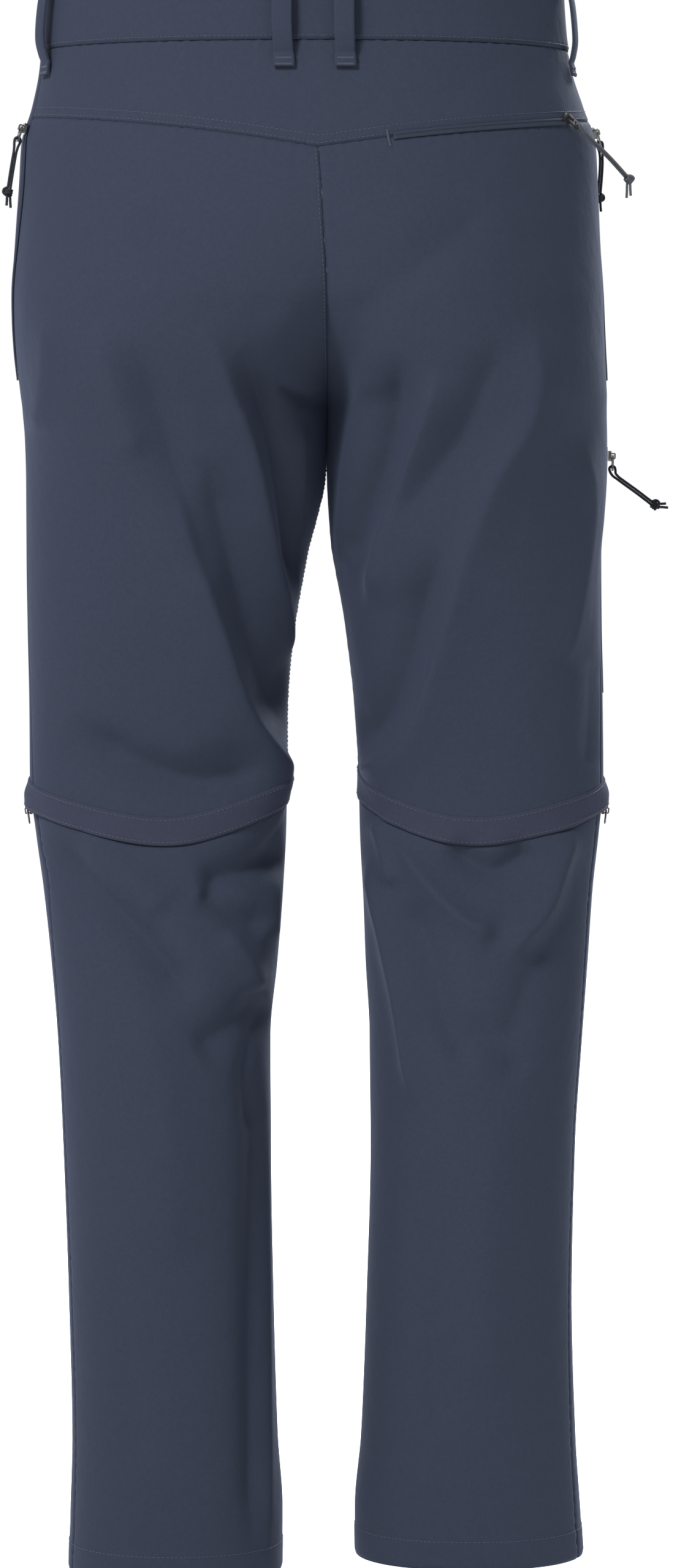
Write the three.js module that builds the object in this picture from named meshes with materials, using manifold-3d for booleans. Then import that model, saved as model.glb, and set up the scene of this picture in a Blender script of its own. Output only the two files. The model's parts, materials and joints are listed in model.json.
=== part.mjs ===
// Convertible zip-off trousers, worn-out form with no wearer, in millimetres.
// +Z up, the front faces -Y, +X is the wearer's left.
// The origin is the middle of the waist opening, at half the waistband's height.

import * as THREE from "three";
import { mergeVertices } from "three/addons/utils/BufferGeometryUtils.js";
import Module from "manifold-3d";

const wasm = await Module();
wasm.setup();

// Driving sizes
const CLOTH = 1.5;
const SEAM = 0.3;
const HALF_SEAM = SEAM / 2;
const ROUNDNESS = 2.2;
const EYE = { distance: 3300, height: -278 };
const BAND = { top: 21, bottom: -28, proud: 0.8, thick: 2.5 };
const LAP = { under: 14, over: 6, sink: 3.2, sunkTo: 8, levelBy: 24 };
const YOKE = { side: -73, drop: 24, curve: 1.3 };
const COVER = {
  height: 19, seat: 4, thick: 1.5, lift: 0.7, bulge: 3.4, bulgeAngle: 0.22, bulgeFull: 0.6, columns: 36,
};
const COVER_LINE = { level: -503.5, lean: 13, sag: 13, outer: 3.5, tilt: 3 };
const ZIP_RING = { gap: 0.45, bottom: 18.5 };
const HEM = { left: -1040, right: -1030 };
const LOOP = { width: 12.5, thick: 1.6, backAcross: 19.5, frontAcross: 78, leftAngle: 13, rightAngle: 9 };
const FLY = {
  width: 36, foot: 3, inset: 0.6, thick: 1.2, lift: 1.1, top: -29, straightTo: -140, bottom: -182,
};
const BACK_ZIP = { from: 48, to: 160, steps: 12 };
const HAND_ZIP = { top: -77, bottom: -244, steps: 9 };
const THIGH_ZIP = { angle: -6, top: -288, bottom: -452, steps: 9 };
const POCKET_ZIP = { width: 4.4, thick: 1.0, lift: 0.5 };
const CORD = { radius: 0.7, sides: 8, nose: 2.0, near: 0.85, step: 3.4 };
const KNOT = { across: 3.1, along: 3.6, tail: 8, root: 1.5, uneven: 0.8, spread: 0.4 };
const TAB = { width: 6, thick: 1.2, bar: 1.2, eye: 3.2, web: 1.4, hole: 3.4, end: 1.4 };
const WIRE = { width: 7, thick: 1.2, length: 9, rim: 1.3 };
const SLIDER = {
  across: 6.6, half: 3.4, thick: 2.0, cut: 1.2, bridge: 2.0, gap: 2.2, wall: 0.9, play: 0.1, root: 0.4, bevel: 0.6,
};
const KNEE_SLIDER = { angle: 0.05, behind: 8.6, ahead: 2.6, below: 2.9 };
const BUTTON = { radius: 8.5, thick: 3.2, foot: 3, under: 0.8, rim: 2.4, bevel: 0.7, dish: 0.7, level: -3 };
const BEND = { seatTop: 60, seatFull: 130, calmTop: 90, calmFull: 380, topReach: 110, bottomReach: 70 };

// Level sections of the worn garment. out is the outer edge of each leg, centre the middle seam's x, pinch how
// far the two leg loops have parted (1 at the crotch), gap each leg's inner edge from the centre, mid, front and
// back the depth, seam the outseam's turn towards the back in degrees.
const SECTION_COLUMNS = ["z", "outLeft", "outRight", "centre", "pinch", "gap", "mid", "front", "back",
  "seamLeft", "seamRight"];
const SECTIONS = [
  [30, 179, -160, 3, 0, 0.15, 0, 112, 109, 6, -5],
  [-16, 182, -163, 3, 0, 0.15, 0, 114, 113, 7, -5],
  [-40, 184, -167, 2, 0, 0.15, 0, 116, 117, 8, -5],
  [-65, 189, -175, 1, 0, 0.15, 1, 118, 122, 9, -5],
  [-89, 196, -183, 0, 0, 0.15, 2, 120, 128, 10, -5],
  [-115, 197.5, -184.5, -2, 0.03, 0.15, 3, 122, 134, 11, -5],
  [-150, 200, -186, -4, 0.16, 0.15, 4, 123, 139, 12, -5],
  [-186, 202, -188, -6, 0.42, 0.15, 4, 121, 140, 12, -4],
  [-205, 201.5, -188.7, -6, 0.6, 0.15, 3, 118, 138, 12, -3],
  [-224, 200.3, -189.5, -6, 0.78, 0.15, 2, 114, 135, 12, -2],
  [-237, 199, -190.2, -6, 0.885, 0.15, 1, 111, 132, 12, -1],
  [-247, 197.8, -190.6, -6, 0.947, 0.15, 0, 109, 129.5, 12, 0],
  [-254.5, 197, -191, -6, 0.985, 0.15, -1, 107, 127.5, 12, 1],
  [-262, 196, -191, -6, 1, 0.15, -2, 105, 125.5, 12, 1],
  [-286, 194.5, -191.5, -5.5, 1, 0.2, -3, 101, 118.5, 12, 2],
  [-311, 194, -191, -5, 1, 0.6, -3, 98, 111.5, 12, 4],
  [-335, 194, -189.5, -3, 1, 3.9, -3, 95, 105.5, 12, 6],
  [-360, 194, -187.5, -1, 1, 8.4, -3, 93, 101, 12, 7],
  [-409, 193.5, -188, -1, 1, 17, -3, 87, 92, 13, 9],
  [-458, 192.7, -189.4, -1.6, 1, 22, -3, 80, 81, 14, 12],
  [-508, 192.5, -190, -3, 1, 23.8, -2, 72, 70, 15, 15],
  [-545, 188.5, -187, -3, 1, 24.6, -1, 68, 66, 16, 16],
  [-581, 183.5, -183, -3, 1, 26.5, 2, 66, 67, 17, 17],
  [-631, 178, -179.5, -2, 1, 29.4, 6, 63, 71, 18, 18],
  [-680, 174, -176, -1, 1, 33, 8, 61, 72, 18, 18],
  [-754, 170.6, -171.5, -1.5, 1, 33.2, 8, 60, 70, 18, 18],
  [-852, 167.5, -169.7, -1, 1, 31.2, 7, 60, 64, 18, 18],
  [-950, 165.6, -172.6, -0.5, 1, 27.9, 5, 61, 60, 18, 18],
  [-1000, 167, -176, 0, 1, 24.2, 5, 62, 60, 18, 18],
  [-1060, 169, -180, 0, 1, 25, 5, 63, 61, 18, 18],
];

// Largest folds as they are seen from behind or in front: x and z of three points that the crease runs
// through, its spread on the wearer's left and right side, and its height, negative for a trough.
const FOLD_COLUMNS = ["face", "x1", "z1", "x2", "z2", "x3", "z3", "spreadLeft", "spreadRight", "height"];
const FOLDS = [
  ["back", 125, -200, 100, -285, 82, -351, 24, 22, -6],
  ["back", 93, -325, 67, -408, 22, -502, 26, 12, 6.5],
  ["back", 73, -210, 40, -322, 20, -440, 17, 12, 6],
  ["back", 50, -225, 33, -278, 26, -322, 9, 9, -6],
  ["back", 159, -477, 96, -510, 39, -500, 13, 13, -4],
  ["back", 178, -549, 135, -599, 84, -659, 15, 15, -5.5],
  ["back", 22, -560, 45, -566, 70, -577, 9, 9, -6],
  ["back", 33, -650, 52, -664, 70, -683, 11, 11, -5],
  ["back", 44, -720, 43, -860, 44, -1040, 10, 10, -4],
  ["back", -40, -205, -28, -269, -16, -365, 12, 14, 5],
  ["back", -76, -246, -50, -318, -21, -402, 13, 12, 5.5],
  ["back", -125, -205, -101, -272, -55, -335, 18, 20, -6],
  ["back", -143, -200, -138, -290, -100, -355, 18, 18, 5],
  ["back", -100, -355, -78, -430, -42, -503, 16, 18, 5.5],
  ["back", -176, -290, -179, -340, -163, -424, 11, 9, 3.5],
  ["back", -46, -546, -70, -575, -102, -612, 10, 12, 5],
  ["back", -168, -541, -152, -599, -134, -625, 12, 10, 4.5],
  ["back", -32, -562, -43, -631, -62, -730, 8, 10, 4],
  ["front", 20, -232, 62, -222, 118, -196, 12, 14, 4],
  ["front", 22, -262, 60, -300, 92, -372, 15, 15, 4.5],
  ["front", 152, -300, 140, -380, 118, -452, 18, 18, 4],
  ["front", 48, -440, 92, -470, 160, -452, 14, 14, -4.5],
  ["front", 160, -560, 112, -590, 62, -640, 13, 13, 4.5],
  ["front", 60, -760, 78, -860, 92, -985, 14, 14, -3.5],
  ["front", -28, -236, -70, -226, -126, -204, 12, 14, 4],
  ["front", -28, -270, -56, -322, -88, -392, 15, 15, 4.5],
  ["front", -150, -290, -136, -372, -112, -450, 18, 18, 4],
  ["front", -44, -446, -96, -474, -158, -460, 14, 14, -4.5],
  ["front", -158, -556, -108, -600, -66, -652, 13, 13, 4.5],
  ["front", -70, -770, -86, -880, -98, -1000, 14, 14, -3.5],
];

// Levels of the panels' rows, close together where the loops pinch. Front and back share them at the outseam.
const BACK_LEVELS = [-73, -94, -114, -133, -152, -171, -191, -209, -224, -237, -247, -254.5, -259.5, -262,
  -272, -290, -311, -332, -354, -377, -400, -424, -448, -472, -494, -514];
const FRONT_LEVELS = [-28, -50, ...BACK_LEVELS];
const LOWER_LEVELS = [-530, -546, -563, -581, -601, -623, -648, -676, -707, -742, -782, -826, -873, -923,
  -974, -1035];
const YOKE_ROWS = [0, 0.49, 1];
const BACK_COLUMNS = 12;
const FRONT_COLUMNS = 11;
const LOWER_COLUMNS = 13;

// Colours
const paint = (color, roughness, metalness) =>
  new THREE.MeshStandardMaterial({ color, roughness, metalness });
const SLATE = paint(0x3d4454, 0.85, 0);
const SLATE_BAND = paint(0x464859, 0.85, 0);
const ZIP_BLACK = paint(0x101217, 0.55, 0);
const METAL_BLACK = paint(0x15161a, 0.35, 0.8);
const CORD_GREY = paint(0x3a3e42, 0.7, 0);
const BUTTON_DARK = paint(0x262a33, 0.45, 0);

const garment = new THREE.Group();
const radians = THREE.MathUtils.degToRad;
const smooth = (x, from, to) => THREE.MathUtils.smoothstep(x, from, to);

// Slopes of a curve through the rows of a table column that never overshoots them
function steadySlopes(xs, ys) {
  const rise = xs.slice(1).map((x, i) => (ys[i + 1] - ys[i]) / (x - xs[i]));
  return ys.map((_, i) => {
    if (i === 0) return rise[0];
    if (i === ys.length - 1) return rise[i - 1];
    const product = rise[i - 1] * rise[i];
    return product > 0 ? (2 * product) / (rise[i - 1] + rise[i]) : 0;
  });
}

const LEVELS = SECTIONS.map((row) => row[0]);
const COLUMN_VALUES = SECTION_COLUMNS.map((_, c) => SECTIONS.map((row) => row[c]));
const COLUMN_SLOPES = COLUMN_VALUES.map((values) => steadySlopes(LEVELS, values));

// Every column of the section table at level z
function section(z) {
  let i = 0;
  while (i < LEVELS.length - 2 && z < LEVELS[i + 1]) i += 1;
  const span = LEVELS[i + 1] - LEVELS[i];
  const t = (z - LEVELS[i]) / span;
  const found = {};
  SECTION_COLUMNS.forEach((name, c) => {
    const [a, b] = [COLUMN_VALUES[c][i], COLUMN_VALUES[c][i + 1]];
    const [ma, mb] = [COLUMN_SLOPES[c][i] * span, COLUMN_SLOPES[c][i + 1] * span];
    const [t2, t3] = [t * t, t * t * t];
    found[name] = (2 * t3 - 3 * t2 + 1) * a + (t3 - 2 * t2 + t) * ma
      + (3 * t2 - 2 * t3) * b + (t3 - t2) * mb;
  });
  return found;
}

// One leg's loop at level z: its middle and half width across, and its half depths
function loopAt(side, z) {
  const s = section(z);
  const reach = side > 0 ? s.outLeft - s.centre : s.centre - s.outRight;
  const pinch = Math.min(s.pinch, 1);
  const half = (reach - s.gap) / (1 + pinch);
  return { ...s, half, middle: s.gap + pinch * half, seam: radians(side > 0 ? s.seamLeft : s.seamRight) };
}

// Point of the smooth form at an angle round a leg: 0 at the outer edge, positive to the back, negative in front
function formPoint(side, angle, z) {
  const loop = loopAt(side, z);
  const depth = angle >= 0 ? loop.back : loop.front;
  const [c, s] = [Math.cos(angle), Math.sin(angle)];
  const across = (Math.abs(c) / loop.half) ** ROUNDNESS;
  const along = (Math.abs(s) / depth) ** ROUNDNESS;
  const radius = 1 / (across + along) ** (1 / ROUNDNESS);
  return new THREE.Vector3(loop.centre + side * (loop.middle + radius * c), loop.mid + radius * s, z);
}

// Outward direction of the smooth form
function formNormal(side, angle, z) {
  const [turn, rise] = [0.002, 0.4];
  const round = formPoint(side, angle + turn, z).sub(formPoint(side, angle - turn, z));
  const up = formPoint(side, angle, z + rise).sub(formPoint(side, angle, z - rise));
  return round.cross(up).multiplyScalar(side).normalize();
}

// Angle at which a leg's loop is a given distance from the middle seam, on its back (+1) or front (-1)
function angleAcross(side, z, across, face) {
  const loop = loopAt(side, z);
  const x = across - loop.middle;
  const share = Math.min(Math.abs(x) / loop.half, 1);
  const depth = face > 0 ? loop.back : loop.front;
  const y = Math.max(depth * (1 - share ** ROUNDNESS) ** (1 / ROUNDNESS), HALF_SEAM);
  return face * Math.atan2(y, x);
}

// Points along each fold's crease, on a curve through its three table points
const CREASES = FOLDS.map((row) => {
  const fold = Object.fromEntries(FOLD_COLUMNS.map((name, c) => [name, row[c]]));
  const through = [[fold.x1, fold.z1], [fold.x2, fold.z2], [fold.x3, fold.z3]];
  const curve = new THREE.CatmullRomCurve3(through.map(([x, z]) => new THREE.Vector3(x, 0, z)));
  return { ...fold, points: curve.getPoints(14) };
});

// Height of the folds at a point of the form, faded out towards the outline and the inner thighs
function foldHeight(side, angle, point) {
  const face = angle >= 0 ? "back" : "front";
  const toEye = face === "back" ? EYE.distance - point.y : EYE.distance + point.y;
  const grow = EYE.distance / toEye;
  const [x, z] = [point.x * grow, EYE.height + (point.z - EYE.height) * grow];
  const inward = Math.abs(point.x - section(point.z).centre);
  const edge = smooth(Math.abs(Math.sin(angle)), 0.1, 0.5) * smooth(inward, 3, 22);
  const seat = smooth(-point.z, BEND.seatTop, BEND.seatFull);
  let height = 0;
  for (const fold of CREASES) {
    if (fold.face !== face) continue;
    let [nearest, along, onLeft] = [Infinity, 0, true];
    for (let i = 0; i < fold.points.length - 1; i += 1) {
      const [a, b] = [fold.points[i], fold.points[i + 1]];
      const [dx, dz] = [b.x - a.x, b.z - a.z];
      const t = THREE.MathUtils.clamp(((x - a.x) * dx + (z - a.z) * dz) / (dx * dx + dz * dz), 0, 1);
      const [ox, oz] = [x - a.x - t * dx, z - a.z - t * dz];
      const distance = Math.hypot(ox, oz);
      if (distance < nearest) {
        nearest = distance;
        along = (i + t) / (fold.points.length - 1);
        onLeft = ox > 0;
      }
    }
    const spread = onLeft ? fold.spreadLeft : fold.spreadRight;
    const ends = smooth(along, -0.02, 0.3) * smooth(1.02 - along, 0, 0.3);
    height += fold.height * Math.exp(-((nearest / spread) ** 2)) * ends;
  }
  return height * edge * seat;
}

// Point of the cloth's outer face, moved out by lift
function clothPoint(side, angle, z, lift) {
  const point = formPoint(side, angle, z);
  const out = formNormal(side, angle, z);
  return point.addScaledVector(out, foldHeight(side, angle, point) + lift);
}

// Turns a geometry so that its faces point out, and gives it shared corners
function finished(geometry) {
  geometry.deleteAttribute("normal");
  geometry.deleteAttribute("uv");
  const merged = mergeVertices(geometry, 1e-4);
  const p = merged.attributes.position;
  const index = merged.index.array;
  let volume = 0;
  const [a, b, c] = [new THREE.Vector3(), new THREE.Vector3(), new THREE.Vector3()];
  for (let i = 0; i < index.length; i += 3) {
    a.fromBufferAttribute(p, index[i]);
    b.fromBufferAttribute(p, index[i + 1]);
    c.fromBufferAttribute(p, index[i + 2]);
    volume += a.dot(b.cross(c));
  }
  if (volume < 0) {
    for (let i = 0; i < index.length; i += 3) [index[i + 1], index[i + 2]] = [index[i + 2], index[i + 1]];
  }
  merged.computeVertexNormals();
  return merged;
}

function add(name, geometry, material) {
  const mesh = new THREE.Mesh(finished(geometry), material);
  mesh.name = name;
  garment.add(mesh);
  return mesh;
}

// Closed wall between an outer and an inner face, both worked out on a grid of rows and columns. Each cell of the
// grid is split along its shorter diagonal.
function wall(rows, columns, outerAt, innerAt, ring = false) {
  const positions = [];
  const across = ring ? columns : columns + 1;
  for (const face of [outerAt, innerAt]) {
    for (let r = 0; r <= rows; r += 1) {
      for (let c = 0; c < across; c += 1) positions.push(...face(r, c).toArray());
    }
  }
  const layer = (rows + 1) * across;
  const at = (face, r, c) => face * layer + r * across + (ring ? c % columns : c);
  const index = [];
  const corner = (i) => new THREE.Vector3().fromArray(positions, 3 * i);
  const length = (i, j) => corner(i).distanceTo(corner(j));
  const quad = (p, q, r, s, split = true) => index.push(...(split ? [p, q, r, p, r, s] : [q, r, s, q, s, p]));
  for (let r = 0; r < rows; r += 1) {
    for (let c = 0; c < columns; c += 1) {
      const split = length(at(0, r, c), at(0, r + 1, c + 1)) <= length(at(0, r + 1, c), at(0, r, c + 1));
      quad(at(0, r, c), at(0, r + 1, c), at(0, r + 1, c + 1), at(0, r, c + 1), split);
      quad(at(1, r, c), at(1, r, c + 1), at(1, r + 1, c + 1), at(1, r + 1, c), split);
    }
  }
  for (let c = 0; c < columns; c += 1) {
    quad(at(0, 0, c), at(0, 0, c + 1), at(1, 0, c + 1), at(1, 0, c));
    quad(at(0, rows, c), at(1, rows, c), at(1, rows, c + 1), at(0, rows, c + 1));
  }
  for (let r = 0; r < rows && !ring; r += 1) {
    quad(at(0, r, 0), at(1, r, 0), at(1, r + 1, 0), at(0, r + 1, 0));
    quad(at(0, r, columns), at(0, r + 1, columns), at(1, r + 1, columns), at(1, r, columns));
  }
  const geometry = new THREE.BufferGeometry();
  geometry.setAttribute("position", new THREE.Float32BufferAttribute(positions, 3));
  geometry.setIndex(index);
  return geometry;
}

// Level of the knee cover's upper edge: it dips at the back and rises at the front
function coverTop(angle) {
  const toBack = Math.sin(angle);
  const tilt = COVER_LINE.tilt * Math.sin(2 * angle) * Math.max(toBack, 0);
  return COVER_LINE.level - COVER_LINE.lean * toBack - COVER_LINE.sag * toBack ** 2
    - COVER_LINE.outer * Math.cos(angle) + tilt;
}

// Level of the yoke's lower edge, from the outseam (0) to the centre back (1)
function yokeEdge(share) {
  return YOKE.side - YOKE.drop * share ** YOKE.curve;
}

// Angle of a panel's column: share runs from the outseam (0) to the centre seam or inseam (1). Where the seam
// swings in to the crotch only the columns beside it follow.
function columnAngle(side, face, z, share) {
  const loop = loopAt(side, z);
  const start = loop.seam + (face * HALF_SEAM) / loop.half;
  const calm = face * radians(90 + 90 * smooth(-z, BEND.calmTop, BEND.calmFull));
  const end = angleAcross(side, z, HALF_SEAM, face);
  return start + (calm - start) * share + (end - calm) * share ** 4;
}

// One panel from its outseam to its centre seam or inseam. topAt and bottomAt give the level of its end rows.
function panel(side, face, levels, columns, topAt, bottomAt) {
  const [first, last] = [levels[0], levels[levels.length - 1]];
  const place = (r, c, lift) => {
    const share = c / columns;
    const nominal = levels[r];
    const angle = columnAngle(side, face, nominal, share);
    const nearTop = smooth(nominal, first - BEND.topReach, first);
    const nearBottom = smooth(-nominal, -last - BEND.bottomReach, -last);
    const z = nominal + (topAt(share, angle) - first) * nearTop + (bottomAt(share, angle) - last) * nearBottom;
    return clothPoint(side, columnAngle(side, face, z, share), z, lift);
  };
  return wall(levels.length - 1, columns, (r, c) => place(r, c, 0), (r, c) => place(r, c, -CLOTH));
}

const SIDES = [["left", 1], ["right", -1]];

// Waistband: one strip from the lapped-under end round the body to the lapped-over end
function waistband() {
  const columns = 52;
  const from = -LAP.under;
  const to = 360 + LAP.over;
  const place = (r, c, lift) => {
    const turn = from + ((to - from) * c) / columns;
    const onRight = (turn >= 0 && turn < 180) || turn >= 360;
    const side = onRight ? -1 : 1;
    const fromFront = turn < 0 ? -turn : onRight ? turn % 360 : 360 - turn;
    const sink = LAP.sink * (1 - smooth(turn, LAP.sunkTo, LAP.levelBy));
    const z = [BAND.top, -4, BAND.bottom + HALF_SEAM][r];
    return clothPoint(side, radians(fromFront - 90), z, lift - sink);
  };
  return wall(2, columns, (r, c) => place(r, c, BAND.proud), (r, c) => place(r, c, BAND.proud - BAND.thick));
}

// Yoke: one piece from the left outseam over the back to the right outseam
function yoke() {
  const half = BACK_COLUMNS;
  const rows = YOKE_ROWS.length - 1;
  const place = (r, c, lift) => {
    const side = c <= half ? 1 : -1;
    const share = c <= half ? c / half : (2 * half - c) / half;
    const low = yokeEdge(share) + HALF_SEAM;
    const z = BAND.bottom - HALF_SEAM + (low - BAND.bottom + HALF_SEAM) * YOKE_ROWS[r];
    const start = loopAt(side, z).seam + HALF_SEAM / loopAt(side, z).half;
    const end = Math.PI / 2;
    return clothPoint(side, start + (end - start) * share, z, lift);
  };
  return wall(rows, 2 * half, (r, c) => place(r, c, 0), (r, c) => place(r, c, -CLOTH));
}

// Cloth strip laid on the surface along a line of places, each with a side, an angle, a level and a half width
function strip(places, lift, thick, upright) {
  const place = (r, c, height) => {
    const p = places[r];
    const offset = c - 1;
    const shift = offset * p.half;
    const reach = loopAt(p.side, p.z).half;
    const angle = upright ? p.angle + shift / reach : p.angle;
    return clothPoint(p.side, angle, upright ? p.z : p.z + shift, (p.lift ?? lift) + height);
  };
  return wall(places.length - 1, 2, (r, c) => place(r, c, thick), (r, c) => place(r, c, 0));
}

// Belt loop: a strap sewn at the band's top and below its lower seam, bowed out between
const LOOP_BOW = [[19.5, 1.15], [16.5, 1.5], [11, 5.2], [2, 7.3], [-12, 7.9], [-24, 7.2], [-33, 4.3],
  [-38.5, 1.6], [-46, 0.8]];
function beltLoop(side, angleAt) {
  const places = LOOP_BOW.map(([z, lift]) => {
    const angle = angleAt(z);
    const here = formPoint(side, angle, z);
    const beside = formPoint(side, angle + 0.01, z);
    const perRadian = here.distanceTo(beside) / 0.01;
    return { side, angle, z, lift, half: (LOOP.width / 2) * (loopAt(side, z).half / perRadian) };
  });
  return strip(places, 0, LOOP.thick, true);
}

// Fly piece on the wearer's left front, its outer edge curving in to the centre at its foot
function fly() {
  const [rows, columns] = [9, 4];
  const place = (r, c, lift) => {
    const z = FLY.top + ((FLY.bottom - FLY.top) * r) / rows;
    const past = Math.max(0, (FLY.straightTo - z) / (FLY.straightTo - FLY.bottom));
    const width = FLY.foot + (FLY.width - FLY.foot) * Math.sqrt(Math.max(0, 1 - past * past));
    const across = FLY.inset + (width * c) / columns;
    return clothPoint(1, angleAcross(1, z, across, -1), z, lift);
  };
  return wall(rows, columns, (r, c) => place(r, c, FLY.lift + FLY.thick), (r, c) => place(r, c, FLY.lift));
}

// Ring round one leg between two edges that follow the knee cover's line
function kneeRing(side, columns, from, to, liftAt, thick) {
  const rows = 2;
  const place = (r, c, height) => {
    const angle = -Math.PI + (2 * Math.PI * c) / columns;
    const z = coverTop(angle) - from - ((to - from) * r) / rows;
    return clothPoint(side, angle, z, liftAt(angle, r / rows) + height);
  };
  return wall(rows, columns, (r, c) => place(r, c, thick), (r, c) => place(r, c, 0), true);
}

// Solid for joining and cutting
function solidOf(geometry) {
  const merged = finished(geometry);
  return new wasm.Manifold(new wasm.Mesh({
    numProp: 3,
    vertProperties: new Float32Array(merged.attributes.position.array),
    triVerts: new Uint32Array(merged.index.array),
  }));
}

// The geometry of a joined or cut solid
function geometryOf(solid) {
  const mesh = solid.getMesh();
  const geometry = new THREE.BufferGeometry();
  geometry.setAttribute("position", new THREE.BufferAttribute(mesh.vertProperties, 3));
  geometry.setIndex(new THREE.BufferAttribute(mesh.triVerts, 1));
  return geometry;
}

// Closed rectangle outline, corners cut off by a small bevel
function rectangle(x0, x1, y0, y1, cut = 0) {
  const corners = [
    [x0 + cut, y0], [x1 - cut, y0], [x1, y0 + cut], [x1, y1 - cut], [x1 - cut, y1], [x0 + cut, y1],
    [x0, y1 - cut], [x0, y0 + cut]];
  const kept = cut > 0 ? corners : [[x0, y0], [x1, y0], [x1, y1], [x0, y1]];
  return kept.map(([x, y]) => new THREE.Vector2(x, y));
}

// Plate of an outline with holes, its thickness centred on zero
function plate(outline, holes, thick) {
  const shape = new THREE.Shape(outline);
  holes.forEach((hole) => shape.holes.push(new THREE.Path(hole)));
  const geometry = new THREE.ExtrudeGeometry(shape, { depth: thick, bevelEnabled: false });
  return geometry.translate(0, 0, -thick / 2);
}

// Frame of a pull at its hinge: along the tab, across it, and out of the cloth. lean turns the tab from straight
// down towards the front, in degrees.
function pullFrame(side, angle, z, lean, hingeLift) {
  const out = formNormal(side, angle, z);
  const down = new THREE.Vector3(0, 0, -1).addScaledVector(out, out.z).normalize();
  const along = down.clone().applyAxisAngle(out, -radians(lean) * side).normalize();
  const across = out.clone().cross(along).normalize();
  const at = clothPoint(side, angle, z, hingeLift);
  return new THREE.Matrix4().makeBasis(along, across, out).setPosition(at);
}

// Slider body with the bridge that holds the pull's bar, in the hinge's frame
function slider(back, front) {
  const floor = -SLIDER.gap / 2;
  const body = plate(rectangle(-back, front, -SLIDER.across / 2, SLIDER.across / 2, SLIDER.cut), [], SLIDER.thick);
  body.translate(0, 0, floor - SLIDER.thick / 2);
  const clear = SLIDER.gap / 2 + SLIDER.play;
  const reach = clear + SLIDER.wall;
  const root = floor - SLIDER.root;
  const top = SLIDER.gap / 2 + SLIDER.wall;
  const outline = [
    [-reach, root], [reach, root], [reach, top - SLIDER.bevel],
    [reach - SLIDER.bevel, top], [SLIDER.bevel - reach, top], [-reach, top - SLIDER.bevel],
  ].map(([x, y]) => new THREE.Vector2(x, y));
  const opening = rectangle(-clear, clear, floor, SLIDER.gap / 2);
  const bridge = plate(outline, [opening], SLIDER.bridge).rotateX(Math.PI / 2);
  return geometryOf(solidOf(body).add(solidOf(bridge)));
}

// Hard tab: a bar in the bridge, an eye round it, a web, the cord's hole and a round end
const TAB_WEB = TAB.bar / 2 + TAB.eye;
const TAB_HOLE = TAB_WEB + TAB.web;
const TAB_END = TAB_HOLE + TAB.hole + TAB.end;
function tab() {
  const half = TAB.width / 2;
  const outline = rectangle(-TAB.bar / 2, TAB_END, -half, half, 1.0);
  const eye = rectangle(TAB.bar / 2, TAB_WEB, -1.6, 1.6);
  const hole = rectangle(TAB_HOLE, TAB_HOLE + TAB.hole, -1.5, 1.5);
  return plate(outline, [eye, hole], TAB.thick);
}

// Wire pull of a knee slider: a closed ring that narrows from its bar to its tip
function wirePull() {
  const half = WIRE.width / 2;
  const ring = (inset) => [
    [-WIRE.thick / 2 + inset, -half + inset], [-WIRE.thick / 2 + inset, half - inset],
    [2.6, half - inset], [WIRE.length - 1.6 - inset * 0.4, 1.9 - inset * 0.55],
    [WIRE.length - inset, 0.9 - inset * 0.4], [WIRE.length - inset, inset * 0.4 - 0.9],
    [WIRE.length - 1.6 - inset * 0.4, inset * 0.55 - 1.9], [2.6, inset - half],
  ].reverse().map(([x, y]) => new THREE.Vector2(x, y));
  return plate(ring(0), [ring(WIRE.rim)], WIRE.thick);
}

// Round section swept along a curve
function tube(curve, radius, steps) {
  const outline = Array.from({ length: CORD.sides }, (_, i) => {
    const turn = (2 * Math.PI * i) / CORD.sides;
    return new THREE.Vector2(radius * Math.cos(turn), radius * Math.sin(turn));
  });
  const path = { steps, extrudePath: curve, bevelEnabled: false };
  return new THREE.ExtrudeGeometry(new THREE.Shape(outline), path);
}

// Pocket pulls: the hinge's side, angle and level, the tab's lean, the cord's route from the tab's hole to the
// knot, and the direction of its free ends. Route and tail are along, across and out from the hinge, in mm.
const PULLS = [
  { name: "back_pocket", side: -1, angle: 22, z: -76.5, lean: 47,
    route: [[13, 0, 0.2], [26, 0, 0.8], [42, 0.3, 1.2], [58, 0.5, 0.8]], tail: [6.4, -6.8, -3.6] },
  { name: "hand_left", side: 1, angle: 9.8, z: -81, lean: -4,
    route: [[13, 0, -0.2], [21, 0, -1], [30, 0.3, -2], [39.5, 0.5, -3.2]], tail: [8, 0, -2.4] },
  { name: "hand_right", side: -1, angle: -5, z: -81, lean: 19,
    route: [[13, 0, -0.2], [21, 0, -1.8], [30, 0, -4.4], [40.8, 0, -8]], tail: [8, -2.8, -2.6] },
  { name: "thigh_pocket", side: -1, angle: -6, z: -294, lean: 0,
    route: [[12.4, 0, 1.4], [16.8, 0, 7], [23, 0, 16], [30.2, -0.6, 25.8]], tail: [0, 0, 8] },
];
const POCKET_SEAT = POCKET_ZIP.lift + POCKET_ZIP.thick + SEAM;
const HINGE_LIFT = POCKET_SEAT + SLIDER.thick + SLIDER.gap / 2;
const HOLE_MIDDLE = TAB_HOLE + TAB.hole / 2;

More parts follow.
